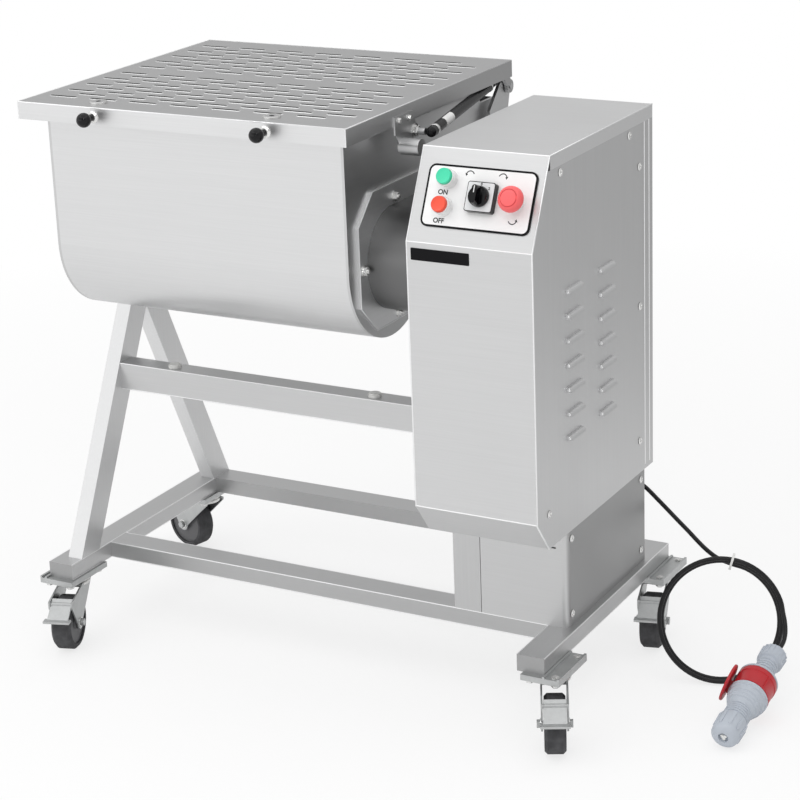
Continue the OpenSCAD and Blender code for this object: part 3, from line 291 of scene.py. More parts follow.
zinc = zinc_plate("zinc plate", (0.54, 0.55, 0.55), 0.3)
pedal_plate = zinc_plate("pedal plate", (0.56, 0.57, 0.57), 0.42)
bright = zinc_plate("bright plate", (0.80, 0.80, 0.79), 0.14)
turned = brushed("turned steel", (0.60, 0.61, 0.62), 1, 0.28)
cast_iron = casting("painted casting", (0.20, 0.25, 0.29))
print("plated and cast finishes:", 5)

# %% [markdown]
# Rubber and plastic are told apart by their sheen and grain more than by colour. Rubber is matt with a
# dusty bloom, a moulded button is glossy with faint flow marks, and cable sheath lies in between.

# %% Rubber and plastics
def rubber(name, tone, dust, rough=0.62):
    paint = Paint(name)
    spot = paint.place()
    bloom = paint.noise(spot, 60.0, 5.0)
    fine = paint.noise(spot, 900.0, 2.0)
    paint.coat(Base_Color=paint.blend(paint.clear(bloom, 0.35, 0.8), tone, dust))
    paint.coat(Specular_IOR_Level=0.3, Roughness=rough + 0.18 * bloom, Normal=paint.bump(fine, 0.25, 0.0002))
    return paint.material


def plastic(name, tone, rough=0.28, grain=0.1, gloss=0.5):
    paint = Paint(name)
    paint.coat(Specular_IOR_Level=gloss)
    spot = paint.place()
    flow = paint.noise(spot, 30.0, 3.0)
    fine = paint.noise(spot, 1400.0, 2.0)
    paint.coat(Base_Color=paint.blend(flow, shade(tone, 0.93), shade(tone, 1.05)))
    paint.coat(Roughness=rough + 0.12 * flow, Normal=paint.bump(fine, grain, 0.0001))
    return paint.material


tread_rubber = rubber("tread rubber", (0.05, 0.05, 0.053), (0.10, 0.10, 0.105))
sheath = rubber("cable sheath", (0.008, 0.008, 0.009), (0.02, 0.02, 0.021), 0.3)
hub_plastic = plastic("wheel hub", (0.12, 0.12, 0.125), 0.45)
black_gloss = plastic("black plastic", (0.003, 0.003, 0.004), 0.06, 0.04, 0.28)
black_paint = plastic("black strut paint", (0.006, 0.006, 0.007), 0.2, 0.2, 0.22)
white_gloss = plastic("white plastic", (0.84, 0.84, 0.84), 0.2)
nylon = plastic("white nylon", (0.82, 0.82, 0.80), 0.45)
mint = plastic("mint green button", (0.05, 0.68, 0.40), 0.3)
orange = plastic("orange red button", (0.90, 0.085, 0.04), 0.3)
coral = plastic("coral red mushroom", (0.90, 0.125, 0.13), 0.35)
panel_white = plastic("panel white", (0.88, 0.88, 0.88), 0.25)
face_silver = plastic("switch face", (0.74, 0.75, 0.76), 0.22)
ink = plastic("black ink", (0.006, 0.006, 0.007), 0.4, 0.1, 0.1)
# Near black for the walls of the lid's slots: painted shade in the gaps.
slot_shade = plastic("painted slot shade", (0.01, 0.01, 0.01), 0.6, 0.1, 0.1)
blank_label = plastic("blank label", (0.80, 0.80, 0.79), 0.5)
body_grey = plastic("coupler grey", (0.50, 0.54, 0.60), 0.4, 0.2)
collar_red = plastic("collar red", (0.50, 0.012, 0.02), 0.32)
flap_red = plastic("flap inner red", (0.26, 0.01, 0.015), 0.45)
print("rubbers and plastics:", 18)

# %% [markdown]
# Each solid from the frame gets its finish by name. The brushing follows the way each sheet or tube
# was fed through the grinder: along the rails, up the legs, across the lid.

# %% Dress the solids
FINISHES = {
    front_steel: ["housing_shell", "rear_cover"],
    box_steel: ["lower_box"],
    post_steel: ["cabinet_posts"],
    cover_steel: ["top_cover"],
    side_steel: ["side_panel"],
    tube_steel: ["rail_front", "rail_rear", "apex_plate"],
    rail_steel: ["rail_left", "rail_right"],
    leg_steel: ["leg_front", "leg_rear"],
    trough_steel: ["tub_trough"],
    end_steel: ["tub_end_left", "tub_end_right", "hinge_ears"],
    flange_steel: ["flange_plate"],
    bar_steel: ["cross_bar"],
    shaded_housing_steel: ["gear_housing"],
    lid_steel: ["lid_panel", "lid_lugs", "strut_bracket"],
    zinc: ["castor_plates"] + ["castor_fork_" + corner for corner in CORNERS],
    pedal_plate: ["castor_pedal_" + corner for corner in CORNERS],
    bright: ["small_fasteners"],
    turned: ["drive_pinion", "front_rotor", "rear_rotor"],
    cast_iron: ["bearing_left", "bearing_right", "gearmotor"],
    white_gloss: ["switch_bases"],
    nylon: ["bar_bumpers", "shaft_seals", "cord_tie"],
    panel_white: ["control_plate"],
    black_paint: ["strut_rod", "strut_body"],
    black_gloss: ["cable_gland", "lid_knobs", "selector_knob"],
    mint: ["on_button"],
    orange: ["off_button"],
    coral: ["emergency_stop"],
    tread_rubber: ["castor_wheel_" + corner for corner in CORNERS],
    sheath: ["cord_lead", "cord_coil", "cord_tail"],
    body_grey: ["coupler"],
}
for material, nodes in FINISHES.items():
    for name in nodes:
        solid = bpy.data.objects[name]
        solid.data.materials.clear()
        solid.data.materials.append(material)
print("solids dressed:", sum(len(nodes) for nodes in FINISHES.values()))

# %% [markdown]
# Round pieces are made as on a lathe: a short profile of radius and height, turned about an axis. Small
# extra points beside each corner keep the edge crisp but not razor sharp.

# %% Tools for making pieces
def in_mm(pairs):
    return [(a * MM, b * MM) for a, b in pairs]


def polar(radius, angle):
    return radius * math.cos(angle), radius * math.sin(angle)


def settled(name, data, body):
    """An object that rides on a body."""
    piece = linked(name, data)
    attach(piece, body)
    return piece


def finish_mesh(name, made, material, body, sharp=35):
    mesh = bpy.data.meshes.new(name)
    made.to_mesh(mesh)
    made.free()
    mesh.shade_smooth()
    mesh.set_sharp_from_angle(angle=math.radians(sharp))
    mesh.materials.append(material)
    return settled(name, mesh, body)


def plated(name, made, body, sharp=35):
    return finish_mesh(name, made, bright, body, sharp)


def sealed(made):
    """The same mesh with its faces turned outward."""
    bmesh.ops.recalc_face_normals(made, faces=made.faces)
    return made


def ring(made, turn, outline, height):
    """The corners of an outline at some height, as vertices."""
    return [made.verts.new(turn @ Vector((x, y, height))) for x, y in outline]


def turned_mesh(profile, turn, steps=40):
    """Turns radius and height pairs about the local Z axis, then moves them by a matrix."""
    made = bmesh.new()
    rings = []
    for radius, height in profile:
        outline = [polar(radius, 2 * math.pi * k / steps) for k in range(steps)] if radius > 1e-6 else [(0, 0)]
        rings.append(ring(made, turn, outline, height))
    for lower, upper in zip(rings, rings[1:]):
        for k in range(steps):
            n = (k + 1) % steps
            face = [lower[k % len(lower)], lower[n % len(lower)], upper[n % len(upper)], upper[k % len(upper)]]
            face = list(dict.fromkeys(face))
            if len(face) > 2:
                made.faces.new(face)
    return sealed(made)


def pointing(origin, direction):
    """A matrix whose Z axis looks along a direction."""
    return Matrix.Translation(origin) @ Vector(direction).to_track_quat("Z", "Y").to_matrix().to_4x4()


def spun(turn, degrees, axis):
    return turn @ Matrix.Rotation(math.radians(degrees), 4, axis)


def traced(name, paths, radius, resolution, material, closed=False):
    """Round bars along paths, as a curve with a bevel."""
    data = bpy.data.curves.new(name, "CURVE")
    data.dimensions = "3D"
    data.bevel_depth = radius
    data.bevel_resolution = resolution
    data.use_fill_caps = not closed
    for path in paths:
        spline = data.splines.new("POLY")
        spline.points.add(len(path) - 1)
        spline.use_cyclic_u = closed
        for point, spot in zip(spline.points, path):
            point.co = (*spot, 1)
    data.materials.append(material)
    return data


print("tools ready")

# %% [markdown]
# The lead is one curve: straight out of the gland, round and down behind the box, to a ring of loops that
# leans against itself, and into the coupler. The free points are listed; the loops are a formula.

# %% The mains lead
CORD = 8 * MM
LEAD_POINTS = [(912, 469, 288), (912, 481, 288), (917, 498, 287), (929, 511, 284), (945, 518, 278),
               (963, 517, 268), (984, 511, 255), (1008, 501, 242), (1037, 484, 230), (1065, 466, 220),
               (1090, 449, 211), (1113, 434, 204), (1136, 425, 197)]
TAIL_POINTS = [(1262, 411, 122), (1269, 402, 107), (1274, 390, 94), (1276, 376, 85), (1275, 360, 79),
               (1272, 343, 75)]
FACE = math.radians(20.9)
LEAN = math.radians(22)
ring_right = Vector((math.cos(FACE), math.sin(FACE), 0))
ring_up = Vector((-math.sin(FACE) * math.sin(LEAN), math.cos(FACE) * math.sin(LEAN), math.cos(LEAN)))
ring_out = ring_right.cross(ring_up)
LOOP_R = 100
ring_mid = Vector((1171, 351, 6)) + LOOP_R * ring_up


def loop_point(turn):
    angle = math.radians(80 - 360 * turn)
    radius = LOOP_R + 4 * turn
    spoke = math.cos(angle) * ring_right + math.sin(angle) * ring_up
    return ring_mid + radius * spoke + 9 * turn * ring_out


def curved(points, steps=6):
    """A smooth curve through points, with a few more between each pair."""
    out = []
    for i in range(len(points) - 1):
        a, b = Vector(points[max(0, i - 1)]), Vector(points[i])
        c, d = Vector(points[i + 1]), Vector(points[min(len(points) - 1, i + 2)])
        for k in range(steps):
            t = k / steps
            out.append(0.5 * (2 * b + (c - a) * t + (2 * a - 5 * b + 4 * c - d) * t ** 2
                              + (3 * b - a - 3 * c + d) * t ** 3))
    return out + [Vector(points[-1])]


loops = [loop_point(i / 24) for i in range(53)]
route = [place(*p) for p in curved(LEAD_POINTS + loops + TAIL_POINTS, 3)]
length = sum((b - a).length for a, b in zip(route, route[1:]))
lead = linked("mains_lead", traced("mains_lead", [route], CORD / 2, 4, sheath))
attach(lead, "base")
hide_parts("cord_lead", "cord_coil", "cord_tail")
print("lead length in metres:", round(length, 3))

# %% [markdown]
# Where a lead leaves a box it would kink, so a tapered rubber sleeve shares out the bend. Rings cut into
# it make it softer towards the thin end.

# %% Strain relief
SLEEVE_L = 30 * MM
SLEEVE_RINGS = 6
sleeve_profile = [(0, 0), (9 * MM, 0)]
for step in range(SLEEVE_RINGS):
    t = step / SLEEVE_RINGS
    radius = (9 - 3.6 * t) * MM
    sleeve_profile += [(radius, t * SLEEVE_L + 1 * MM), (radius, t * SLEEVE_L + 3.4 * MM),
                       (radius - 1.2 * MM, t * SLEEVE_L + 3.6 * MM),
                       (radius - 1.2 * MM, (t + 1 / SLEEVE_RINGS) * SLEEVE_L)]
sleeve_profile += [(4.05 * MM, SLEEVE_L), (4.05 * MM, SLEEVE_L - 0.5 * MM)]
sleeve_start = place(*LEAD_POINTS[0]) - Vector((0, 18 * MM, 0))
relief = turned_mesh(sleeve_profile, pointing(sleeve_start, (0, 1, 0)), 28)
finish_mesh("strain_relief", relief, sheath, "base")
print("sleeve rings:", SLEEVE_RINGS)

# %% [markdown]
# Flat pieces such as plates, nuts and printed marks are outlines given a thickness. An outline with more
# points at its corners reads as rounded, and a smaller top gives the draft of a moulded grip.

# %% Tools for flat pieces
def ring_faces(made, rings):
    """Quads between each ring of points and the next."""
    for a, b in zip(rings, rings[1:]):
        for k in range(len(a)):
            n = (k + 1) % len(a)
            made.faces.new((a[k], a[n], b[n], b[k]))


def slab(outline, turn, low, high, top_share=1.0):
    made = bmesh.new()
    bottom = ring(made, turn, outline, low)
    top = ring(made, turn, [(x * top_share, y * top_share) for x, y in outline], high)
    made.faces.new(bottom)
    made.faces.new(top)
    ring_faces(made, [bottom, top])
    return sealed(made)


def skin(turn, outlines, closed=False):
    """A skin from each outline to the next. Each comes with its height."""
    made = bmesh.new()
    rings = [ring(made, turn, outline, height) for outline, height in outlines]
    ring_faces(made, rings + rings[:1] if closed else rings)
    return sealed(made)


def round_outline(wide, high, radius, steps=8):
    points = []
    for cx, cy, start in ((1, 1, 0), (-1, 1, 90), (-1, -1, 180), (1, -1, 270)):
        for k in range(steps + 1):
            x, y = polar(radius, math.radians(start + 90 * k / steps))
            points.append((cx * (wide / 2 - radius) + x, cy * (high / 2 - radius) + y))
    return points


def hexagon(radius, start=0):
    return [polar(radius, math.radians(start + 60 * k)) for k in range(6)]


def joined(parts):
    """Several made shapes as one mesh."""
    made = bmesh.new()
    for part in parts:
        mesh = bpy.data.meshes.new("part")
        part.to_mesh(mesh)
        part.free()
        made.from_mesh(mesh)
        bpy.data.meshes.remove(mesh)
    return made


def turned_all(profile, turns, steps):
    """One turned shape at several places."""
    return joined([turned_mesh(profile, turn, steps) for turn in turns])


def moved(turn, x, y, z):
    return turn @ Matrix.Translation((x * MM, y * MM, z * MM))


print("flat tools ready")

# %% [markdown]
# The plug and its coupler are one long turned shape on the floor. The matrix below stands the lathe's axis
# along it, with the same side up as in the frame, so the red flap can hinge out at the right place.

# %% Coupler axis
COUPLER_TOP = place(*TAIL_POINTS[-1])
COUPLER_LOW = place(1270, 106, 27)
COLLAR_R = 35 * MM
axis = COUPLER_LOW - COUPLER_TOP
coupler_l = axis.length
coupler_turn = (Matrix.Translation(COUPLER_TOP) @ Matrix.Rotation(math.atan2(axis.y, axis.x), 4, "Z")
                @ Matrix.Rotation(math.acos(axis.z / coupler_l), 4, "Y"))


def shares(pairs):
    return [(r * COLLAR_R, t * coupler_l) for t, r in pairs]


def ribbed(start, pitch, count, low, high):
    """Rounded rings one after another, as share along the axis and share of the collar's radius."""
    out = []
    for rib in range(count):
        t = start + rib * pitch
        out += [(t, low), (t + 0.1 * pitch, high), (t + 0.55 * pitch, high), (t + 0.68 * pitch, low)]
    return out


def on_coupler(name, made, material):
    piece = finish_mesh(name, made, material, "base")
    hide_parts("coupler")
    return piece


print("coupler length in metres:", round(coupler_l, 3))

# %% [markdown]
# Grips are ribbed so that wet hands can pull the plug. The clamp nut at each end has flat fins around it,
# made here as a turned core with thin bars standing out of it.

# %% Plug and coupler bodies
upper = shares([(0, 0.2), (0, 0.56), (0.006, 0.62), (0.11, 0.64), (0.118, 0.6), (0.125, 0.5)]
               + ribbed(0.14, 0.026, 6, 0.47, 0.52)
               + [(0.3, 0.54), (0.306, 0.84), (0.315, 0.88), (0.335, 0.9), (0.34, 0.9), (0.34, 0)])
lower = shares([(0.52, 0), (0.52, 0.96), (0.53, 0.98), (0.556, 0.98), (0.56, 0.93), (0.58, 0.92), (0.6, 0.9),
                (0.605, 0.84), (0.625, 0.83), (0.63, 0.78), (0.65, 0.76), (0.655, 0.7), (0.675, 0.68)]
               + ribbed(0.69, 0.022, 5, 0.6, 0.645)
               + [(0.8, 0.6), (0.806, 0.66), (0.82, 0.72), (0.95, 0.7), (0.975, 0.66), (0.992, 0.55), (1, 0.42),
                  (1, 0.26), (0.975, 0.24), (0.975, 0)])


def fins(low, high, radius, count, thick):
    bar = [(-thick / 2, -radius), (thick / 2, -radius), (thick / 2, radius), (-thick / 2, radius)]
    return [slab(bar, coupler_turn @ Matrix.Rotation(math.pi * k / count, 4, "Z"), low * coupler_l,
                 high * coupler_l, 0.97) for k in range(count)]


clamp_fins = fins(0.012, 0.108, 0.67 * COLLAR_R, 9, 2.4 * MM)
upper_body = on_coupler("plug_body", joined([turned_mesh(upper, coupler_turn)] + clamp_fins), body_grey)
rear_fins = fins(0.825, 0.95, 0.75 * COLLAR_R, 5, 5 * MM)
on_coupler("coupler_body", joined([turned_mesh(lower, coupler_turn)] + rear_fins), body_grey)
print("ribs on the grips:", 11)

# %% [markdown]
# Red tells an electrician the voltage. The collar is a sleeve with a step, between two thin grey rings,
# and moulded ribs run along it.

# %% Red collar
collar = shares([(0.34, 0), (0.34, 0.94), (0.344, 0.98), (0.352, 1), (0.385, 1), (0.389, 0.97), (0.5, 0.97),
                 (0.508, 1), (0.518, 1), (0.52, 0.96), (0.52, 0)])
collar_ribs = [slab([(-1.5 * MM, 0), (1.5 * MM, 0), (1.5 * MM, COLLAR_R), (-1.5 * MM, COLLAR_R)],
                    spun(coupler_turn, degrees, "Z"), 0.385 * coupler_l, 0.51 * coupler_l)
               for degrees in (40, 130, 200, 310)]
on_coupler("coupler_collar", joined([turned_mesh(collar, coupler_turn)] + collar_ribs), collar_red)
rings = joined([turned_mesh(shares([(t, 0.9), (t, 0.985), (t + 0.004, 1), (t + 0.014, 1), (t + 0.018, 0.985),
                                    (t + 0.018, 0.9)]), coupler_turn) for t in (0.322, 0.522)])
on_coupler("coupler_rings", rings, body_grey)
print("collar radius:", COLLAR_R)

# %% [markdown]
# The flap shuts the coupler when no plug is in it. It is a shallow cup with a seal groove, and here it
# stands open on its hinge, so its darker inner face shows.

# %% Coupler flap
FLAP_R, FLAP_T = 33, 5
flap_hinge = spun(coupler_turn, 250, "Z") @ Matrix.Translation((0, 0, coupler_l * 0.48))
flap_turn = spun(moved(flap_hinge, 38, 0, 0), 90, "Y")
cup = in_mm([(0, 0), (FLAP_R - 3, 0), (FLAP_R - 0.8, 0.6), (FLAP_R, 1.6), (FLAP_R, FLAP_T - 0.6),
             (FLAP_R - 0.8, FLAP_T), (FLAP_R - 2.2, FLAP_T), (FLAP_R - 2.8, FLAP_T - 0.6), (FLAP_R - 3, 2.4)])
inner = in_mm([(FLAP_R - 3, 2.4), (FLAP_R - 6, 2.2), (FLAP_R - 6.6, 3.4), (FLAP_R - 9, 3.4),
               (FLAP_R - 9.6, 2), (0, 2)])
on_coupler("coupler_flap", turned_mesh(cup, flap_turn, 48), collar_red)
on_coupler("flap_face", turned_mesh(inner, flap_turn, 48), flap_red)
arm = slab(round_outline(16 * MM, 20 * MM, 3 * MM), spun(moved(flap_hinge, 32, 8, 0), 90, "X"), -6 * MM, 7 * MM)
pin = turned_mesh(in_mm([(0, -11), (2.6, -11), (3, -10), (3, 10), (2.6, 11), (0, 11)]),
                  moved(flap_hinge, 32, 16, 0), 16)
on_coupler("flap_arm", joined([arm, pin]), collar_red)
# The three-lobed white piece in the coupler's open end is a painted highlight of light seen in the hole, in the
# white nylon finish.
highlight_lobes = [polar((4.6 + 1.5 * math.cos(3 * a)) * MM, a) for a in [2 * math.pi * k / 36 for k in range(36)]]
on_coupler("cord_insert", slab(highlight_lobes, coupler_turn, 0.974 * coupler_l, 0.992 * coupler_l), nylon)
print("flap radius in millimetres:", FLAP_R)

# %% [markdown]
# The controls sit on a slope, so it pays to have one matrix for it: the first number runs along the
# slope, the second down it and the third straight out of it.

# %% Slope of the controls
slope_angle = math.atan2(CABINET_Z[1] - BEND_Z, SLOPE_Y - CABINET_Y[0])
slope = Matrix.Translation(place(CABINET_X[0], SLOPE_Y, CABINET_Z[1])) @ Matrix.Rotation(slope_angle, 4, "X")


def on_slope(along, down, out):
    return moved(slope, along, -down, out)


PLATE_W, PLATE_H = 190, 101.08
ON_AT, OFF_AT, SWITCH_AT, STOP_AT = (58, 51), (58, 96), (122, 77), (181, 78)
plate_mid = on_slope(115, 78.54, 0)
outer = in_mm(round_outline(PLATE_W + 0.5, PLATE_H + 0.5, 12.2))
inner = in_mm(round_outline(PLATE_W - 6, PLATE_H - 6, 9))
border = skin(plate_mid, ((outer, 0), (outer, 2.15 * MM), (inner, 2.15 * MM), (inner, 0)), closed=True)
finish_mesh("panel_border", border, ink, "base")
print("control plate, millimetres:", PLATE_W, PLATE_H)

# %% [markdown]
# Marks by the controls are the plain ones any such panel has: ON and OFF, and arrows for the two ways
# round. Text objects carry the words, and the arrows are thin slabs bent along an arc.

# %% Panel marks
def words(name, text, along, down, size):
    data = bpy.data.curves.new(name, "FONT")
    data.body = text
    data.size = size * MM
    data.align_x = data.align_y = "CENTER"
    data.extrude = 0.05 * MM
    data.offset = 0.26 * MM
    data.materials.append(ink)
    piece = settled(name, data, "base")
    piece.matrix_world = on_slope(along, down, 2.1)
    return piece


def arc_arrow(turn, radius, start, sweep, thick=1.5):
    steps = 14
    line = [math.radians(start + sweep * k / steps) for k in range(steps + 1)]
    outer = [polar(radius + thick / 2, a) for a in line]
    inner = [polar(radius - thick / 2, a) for a in line]
    tip = line[-1] + math.radians(math.copysign(240 / radius, sweep))
    head = [polar(radius + k * thick * 1.7, a) for k, a in ((1, line[-1]), (-1, line[-1]), (0, tip))]
    return [slab(in_mm(shape), turn, 0, 0.12 * MM) for shape in (outer + inner[::-1], head)]


words("mark_on", "ON", 51, 73, 11)
words("mark_off", "OFF", 52, 119, 11)
arrows = arc_arrow(on_slope(93, 42, 2), 7, 20, 140) + arc_arrow(on_slope(150, 42, 2), 7, 160, -140)
arrows += arc_arrow(on_slope(179, 106, 2), 7, -160, 140)
finish_mesh("mark_arrows", joined(arrows), ink, "base")
print("marks on the plate:", 5)

# %% [markdown]
# The two buttons are plain caps in white guard collars. A shallow dish in each catches the light.

# %% Push buttons
def button(name, node, body, spot, material):
    cap = in_mm([(0, 6.4), (12.9, 6.4), (12.9, 24.4), (12.6, 25.4), (11.9, 26), (10.8, 26), (10, 25.6),
                 (5, 25.2), (0, 25.1)])
    piece = finish_mesh(name, turned_mesh(cap, on_slope(*spot, 0), 48), material, body)
    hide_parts(node)


button("on_cap_piece", "on_button", "on_cap", ON_AT, mint)
button("off_cap_piece", "off_button", "off_cap", OFF_AT, orange)
guard = in_mm([(13.1, 2), (13.1, 19.3), (13.5, 20), (14.3, 20), (15, 19.3), (15, 9), (14.7, 8.6), (14.7, 7.6),
               (15, 7.2), (15, 2)])
stop_guard = in_mm([(11.1, 2), (11.1, 13.6), (11.5, 14), (12.4, 14), (13, 13.4), (13, 2)])
stop_turn = on_slope(*STOP_AT, 0)
guards = joined([turned_mesh(guard, on_slope(*ON_AT, 0), 48), turned_mesh(guard, on_slope(*OFF_AT, 0), 48),
                 turned_mesh(stop_guard, stop_turn, 40)])
guards = finish_mesh("button_guards", guards, white_gloss, "base")
print("push buttons:", 2)

# %% [markdown]
# The selector is a rotary switch: a black box, a silver square face with three numbered stops, and a
# round skirt with a grip across it. The grip has a little draft, as a moulding needs to leave its mould.

# %% Selector
switch_turn = on_slope(*SWITCH_AT, 0)
switch_box = slab(in_mm(round_outline(48.2, 48.2, 4)), switch_turn, 2 * MM, 14 * MM)
switch_box = finish_mesh("switch_box", switch_box, black_gloss, "base")
for piece in (guards, switch_box):
    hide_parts("switch_bases")
switch_face = slab(in_mm(round_outline(45.6, 45.6, 3)), switch_turn, 14 * MM, 14.6 * MM)
finish_mesh("switch_face", switch_face, face_silver, "base")
for text, degrees in (("1", 45), ("0", 90), ("2", 135)):
    dx, dy = polar(20, math.radians(degrees))
    mark = words("stop_" + text, text, SWITCH_AT[0] - dx, SWITCH_AT[1] - dy, 6)
    mark.matrix_world = moved(mark.matrix_world, 0, 0, 12.5)
skirt = in_mm([(0, 15), (16.4, 15), (17, 15.6), (17, 17), (16.2, 23.6), (15.4, 24.6), (0, 25)])
grip = slab(in_mm(round_outline(10, 33.4, 4.9)), switch_turn, 20 * MM, 38 * MM, 0.88)
knob = joined([turned_mesh(skirt, switch_turn, 48), grip])
knob = finish_mesh("selector_grip", knob, black_gloss, "selector")
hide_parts("selector_knob")
pointer = slab(in_mm([(-0.7, 2), (0.7, 2), (0.7, 13), (-0.7, 13)]), switch_turn, 37.9 * MM, 38.3 * MM)
finish_mesh("selector_pointer", pointer, white_gloss, "selector")
print("stops of the selector:", 3)

# %% [markdown]
# The emergency button is a mushroom, wide enough for the flat of a hand. A ring groove and two arrows
# show that it is turned to let it go again.

# %% Emergency mushroom
dome = in_mm([(0, 20), (18.4, 20), (20.2, 20.8), (21, 22.6), (21, 26.4), (20.3, 29.6), (18.6, 32.6),
              (16, 34.5), (14.6, 35), (14.3, 34.2), (13.3, 34.2), (13, 35.3), (9, 35.9), (0, 36)])
stem = in_mm([(0, 6.4), (10.8, 6.4), (10.8, 20), (0, 20)])
mushroom = joined([turned_mesh(dome, stop_turn, 56), turned_mesh(stem, stop_turn, 32)])
mushroom = finish_mesh("stop_mushroom", mushroom, coral, "mushroom")
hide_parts("emergency_stop")
groove = moved(stop_turn, 0, 0, 34.2)
release = arc_arrow(groove, 13.8, 20, 140, 0.98) + arc_arrow(groove, 13.8, 200, 140, 0.98)
dark_coral = plastic("dark coral mark", (0.62, 0.05, 0.06), 0.4)
finish_mesh("release_arrows", joined(release), dark_coral, "mushroom")
print("mushroom diameter in millimetres:", 42)

# %% [markdown]
# The lid is lifted by two black balls, screwed on against a bright turned foot. The ball's profile is
# worked out from a circle, so that it meets its neck without a step.

# %% Lid knobs
FOOT = in_mm([(0, 0), (10.6, 0), (10.6, 1.6), (10, 2.4), (8.4, 3.2), (7.4, 5), (0, 5)])
arc = [math.pi * k / 25 for k in range(4, 24)]
BALL_R = 12.5
BALL = in_mm([(0, 4.6), (6, 4.6), (6.2, 11), (6.4, 14)]
             + [(BALL_R * math.sin(a), 26 - BALL_R * math.cos(a)) for a in arc] + [(1.5, 38.4), (0, 38.5)])
knob_turns = [pointing(place(x, LID_Y[0], 1007.5), (0, -1, 0)) for x in (196, 533)]
balls = finish_mesh("knob_balls", turned_all(BALL, knob_turns, 48), black_gloss, "lid")
feet = plated("knob_feet", turned_all(FOOT, knob_turns, 40), "lid")
for piece in (balls, feet):
    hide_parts("lid_knobs")
print("lid knobs:", len(knob_turns))

# %% [markdown]
# The lid's rubber buffers are held by large flat screws. Only their rims catch the light, so each gets a
# thin bright ring, and its hexagon socket is a flat black hexagon: painted shade for the recess.

# %% Buffer screws
RING = in_mm([(11.6, 3), (12.2, 3.25), (14.2, 3.25), (15.15, 2.4), (15.15, 0.2)])
buffer_turns = [pointing(place(x, 14, LID_Z[1]), (0, 0, 1)) for x in (183, 525)]
plated("buffer_rims", turned_all(RING, buffer_turns, 48), "lid")
socket_shades = joined([slab(in_mm(hexagon(4.6)), turn, 2.6 * MM, 3.06 * MM) for turn in buffer_turns])
finish_mesh("buffer_sockets", socket_shades, ink, "lid")
print("buffer screws:", len(buffer_turns))

# %% [markdown]
# Domed cross-head screws hold the side panel. The dome is a fan of rings, and every point that falls in
# the cross is pressed down, which gives a true recess instead of a painted one.

# %% Domed screws
def domed_screw(turn, radius, high, spin):
    made = bmesh.new()
    rings = []
    around, out = 32, 9
    for j in range(1, out + 1):
        r = radius * j / out
        row = []
        for k in range(around):
            a = 2 * math.pi * k / around + spin
            x, y = polar(r, a)
            bx, by = polar(r, a - spin)
            level = high * math.sqrt(max(0, 1 - (0.97 * r / radius) ** 2))
            if min(abs(bx), abs(by)) < 0.14 * radius and r < 0.6 * radius:
                level -= 0.45 * high
            row.append(made.verts.new(turn @ Vector((x, y, level))))
        rings.append(row)
    middle = made.verts.new(turn @ Vector((0, 0, 0.5 * high)))
    for k in range(around):
        n = (k + 1) % around
        made.faces.new((middle, rings[0][k], rings[0][n]))
        for a, b in zip(rings, rings[1:]):
            made.faces.new((a[k], b[k], b[n], a[n]))
    return sealed(made)


PANEL_D, PANEL_H = 476, 648
SIDE_SCREWS = [(CABINET_X[1], CABINET_Y[0] + a * PANEL_D, CABINET_Z[0] + b * PANEL_H) for a, b in
               ((0.2206, 0.9475), (0.792, 0.9475), (0.8803, 0.8519), (0.8824, 0.4722), (0.8782, 0.0926),
                (0.0945, 0.0926))]
BOX_SCREWS = [(988, 122 + a * 325, 162 + b * 174) for a, b in
              ((0.0492, 0.908), (0.9477, 0.908), (0.9477, 0.1379), (0.0492, 0.1264))]
screws = [domed_screw(pointing(place(*spot), (1, 0, 0)), 7 * MM, 3 * MM, 0.3 + 0.7 * k)
          for k, spot in enumerate(SIDE_SCREWS + BOX_SCREWS)]
screws = plated("cross_screws", joined(screws), "base", 50)
print("domed screws:", len(SIDE_SCREWS + BOX_SCREWS))

# %% [markdown]
# Nuts and bolts are hexagons with turned chamfers. One small maker does for the castor plates and for the
# big bolts around the tub's flange.

# %% Nuts and bolts
def hex_nut(turn, radius, high, spin, stud=0.0):
    outline = in_mm(hexagon(radius, spin))
    washer = in_mm([(0, 0), (radius * 1.25, 0), (radius * 1.25, 1.2), (0, 1.2)])
    parts = [slab(outline, turn, 0, (high - 0.8) * MM), slab(outline, turn, (high - 0.8) * MM, high * MM, 0.9),
             turned_mesh(washer, turn, 32)]
    if stud:
        end = [(0, high), (stud, high), (stud, high + 2), (stud * 0.8, high + 2.8), (0, high + 2.8)]
        parts.append(turned_mesh(in_mm(end), turn, 20))
    return parts


SWIVELS = [(20, 44), (996, 44), (20, 486), (996, 486)]
STUD_DX, STUD_DY = 23, 43
nuts = []
for x, y in SWIVELS:
    for dx in (-STUD_DX, STUD_DX):
        for dy in (-STUD_DY, STUD_DY):
            nuts += hex_nut(pointing(place(x + dx, y + dy, 122), (0, 0, -1)), 7.5, 6.4, dx + dy)
for x, y in SWIVELS[1::2]:
    for dy in (-STUD_DY, STUD_DY):
        nuts += hex_nut(pointing(place(x + STUD_DX, y + dy, 132), (0, 0, 1)), 5.4, 3, dy)
nuts = plated("plate_nuts", joined(nuts), "base", 30)
for piece in (screws, nuts):
    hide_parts("small_fasteners")
FLANGE_BOLTS = [(s * b, c) for s in (-1, 1) for b, c in ((230, 0), (120, 100), (120, -100))]
bolts = []
for k, (dy, dz) in enumerate(FLANGE_BOLTS):
    bolts += hex_nut(pointing(place(FLANGE_X, PIVOT_Y + dy, PIVOT_Z + dz), (1, 0, 0)), 7.6, 7.6, 17 * k, 4)
plated("flange_bolts", joined(bolts), "tub", 30)
print("nuts and bolts:", 20 + len(FLANGE_BOLTS))

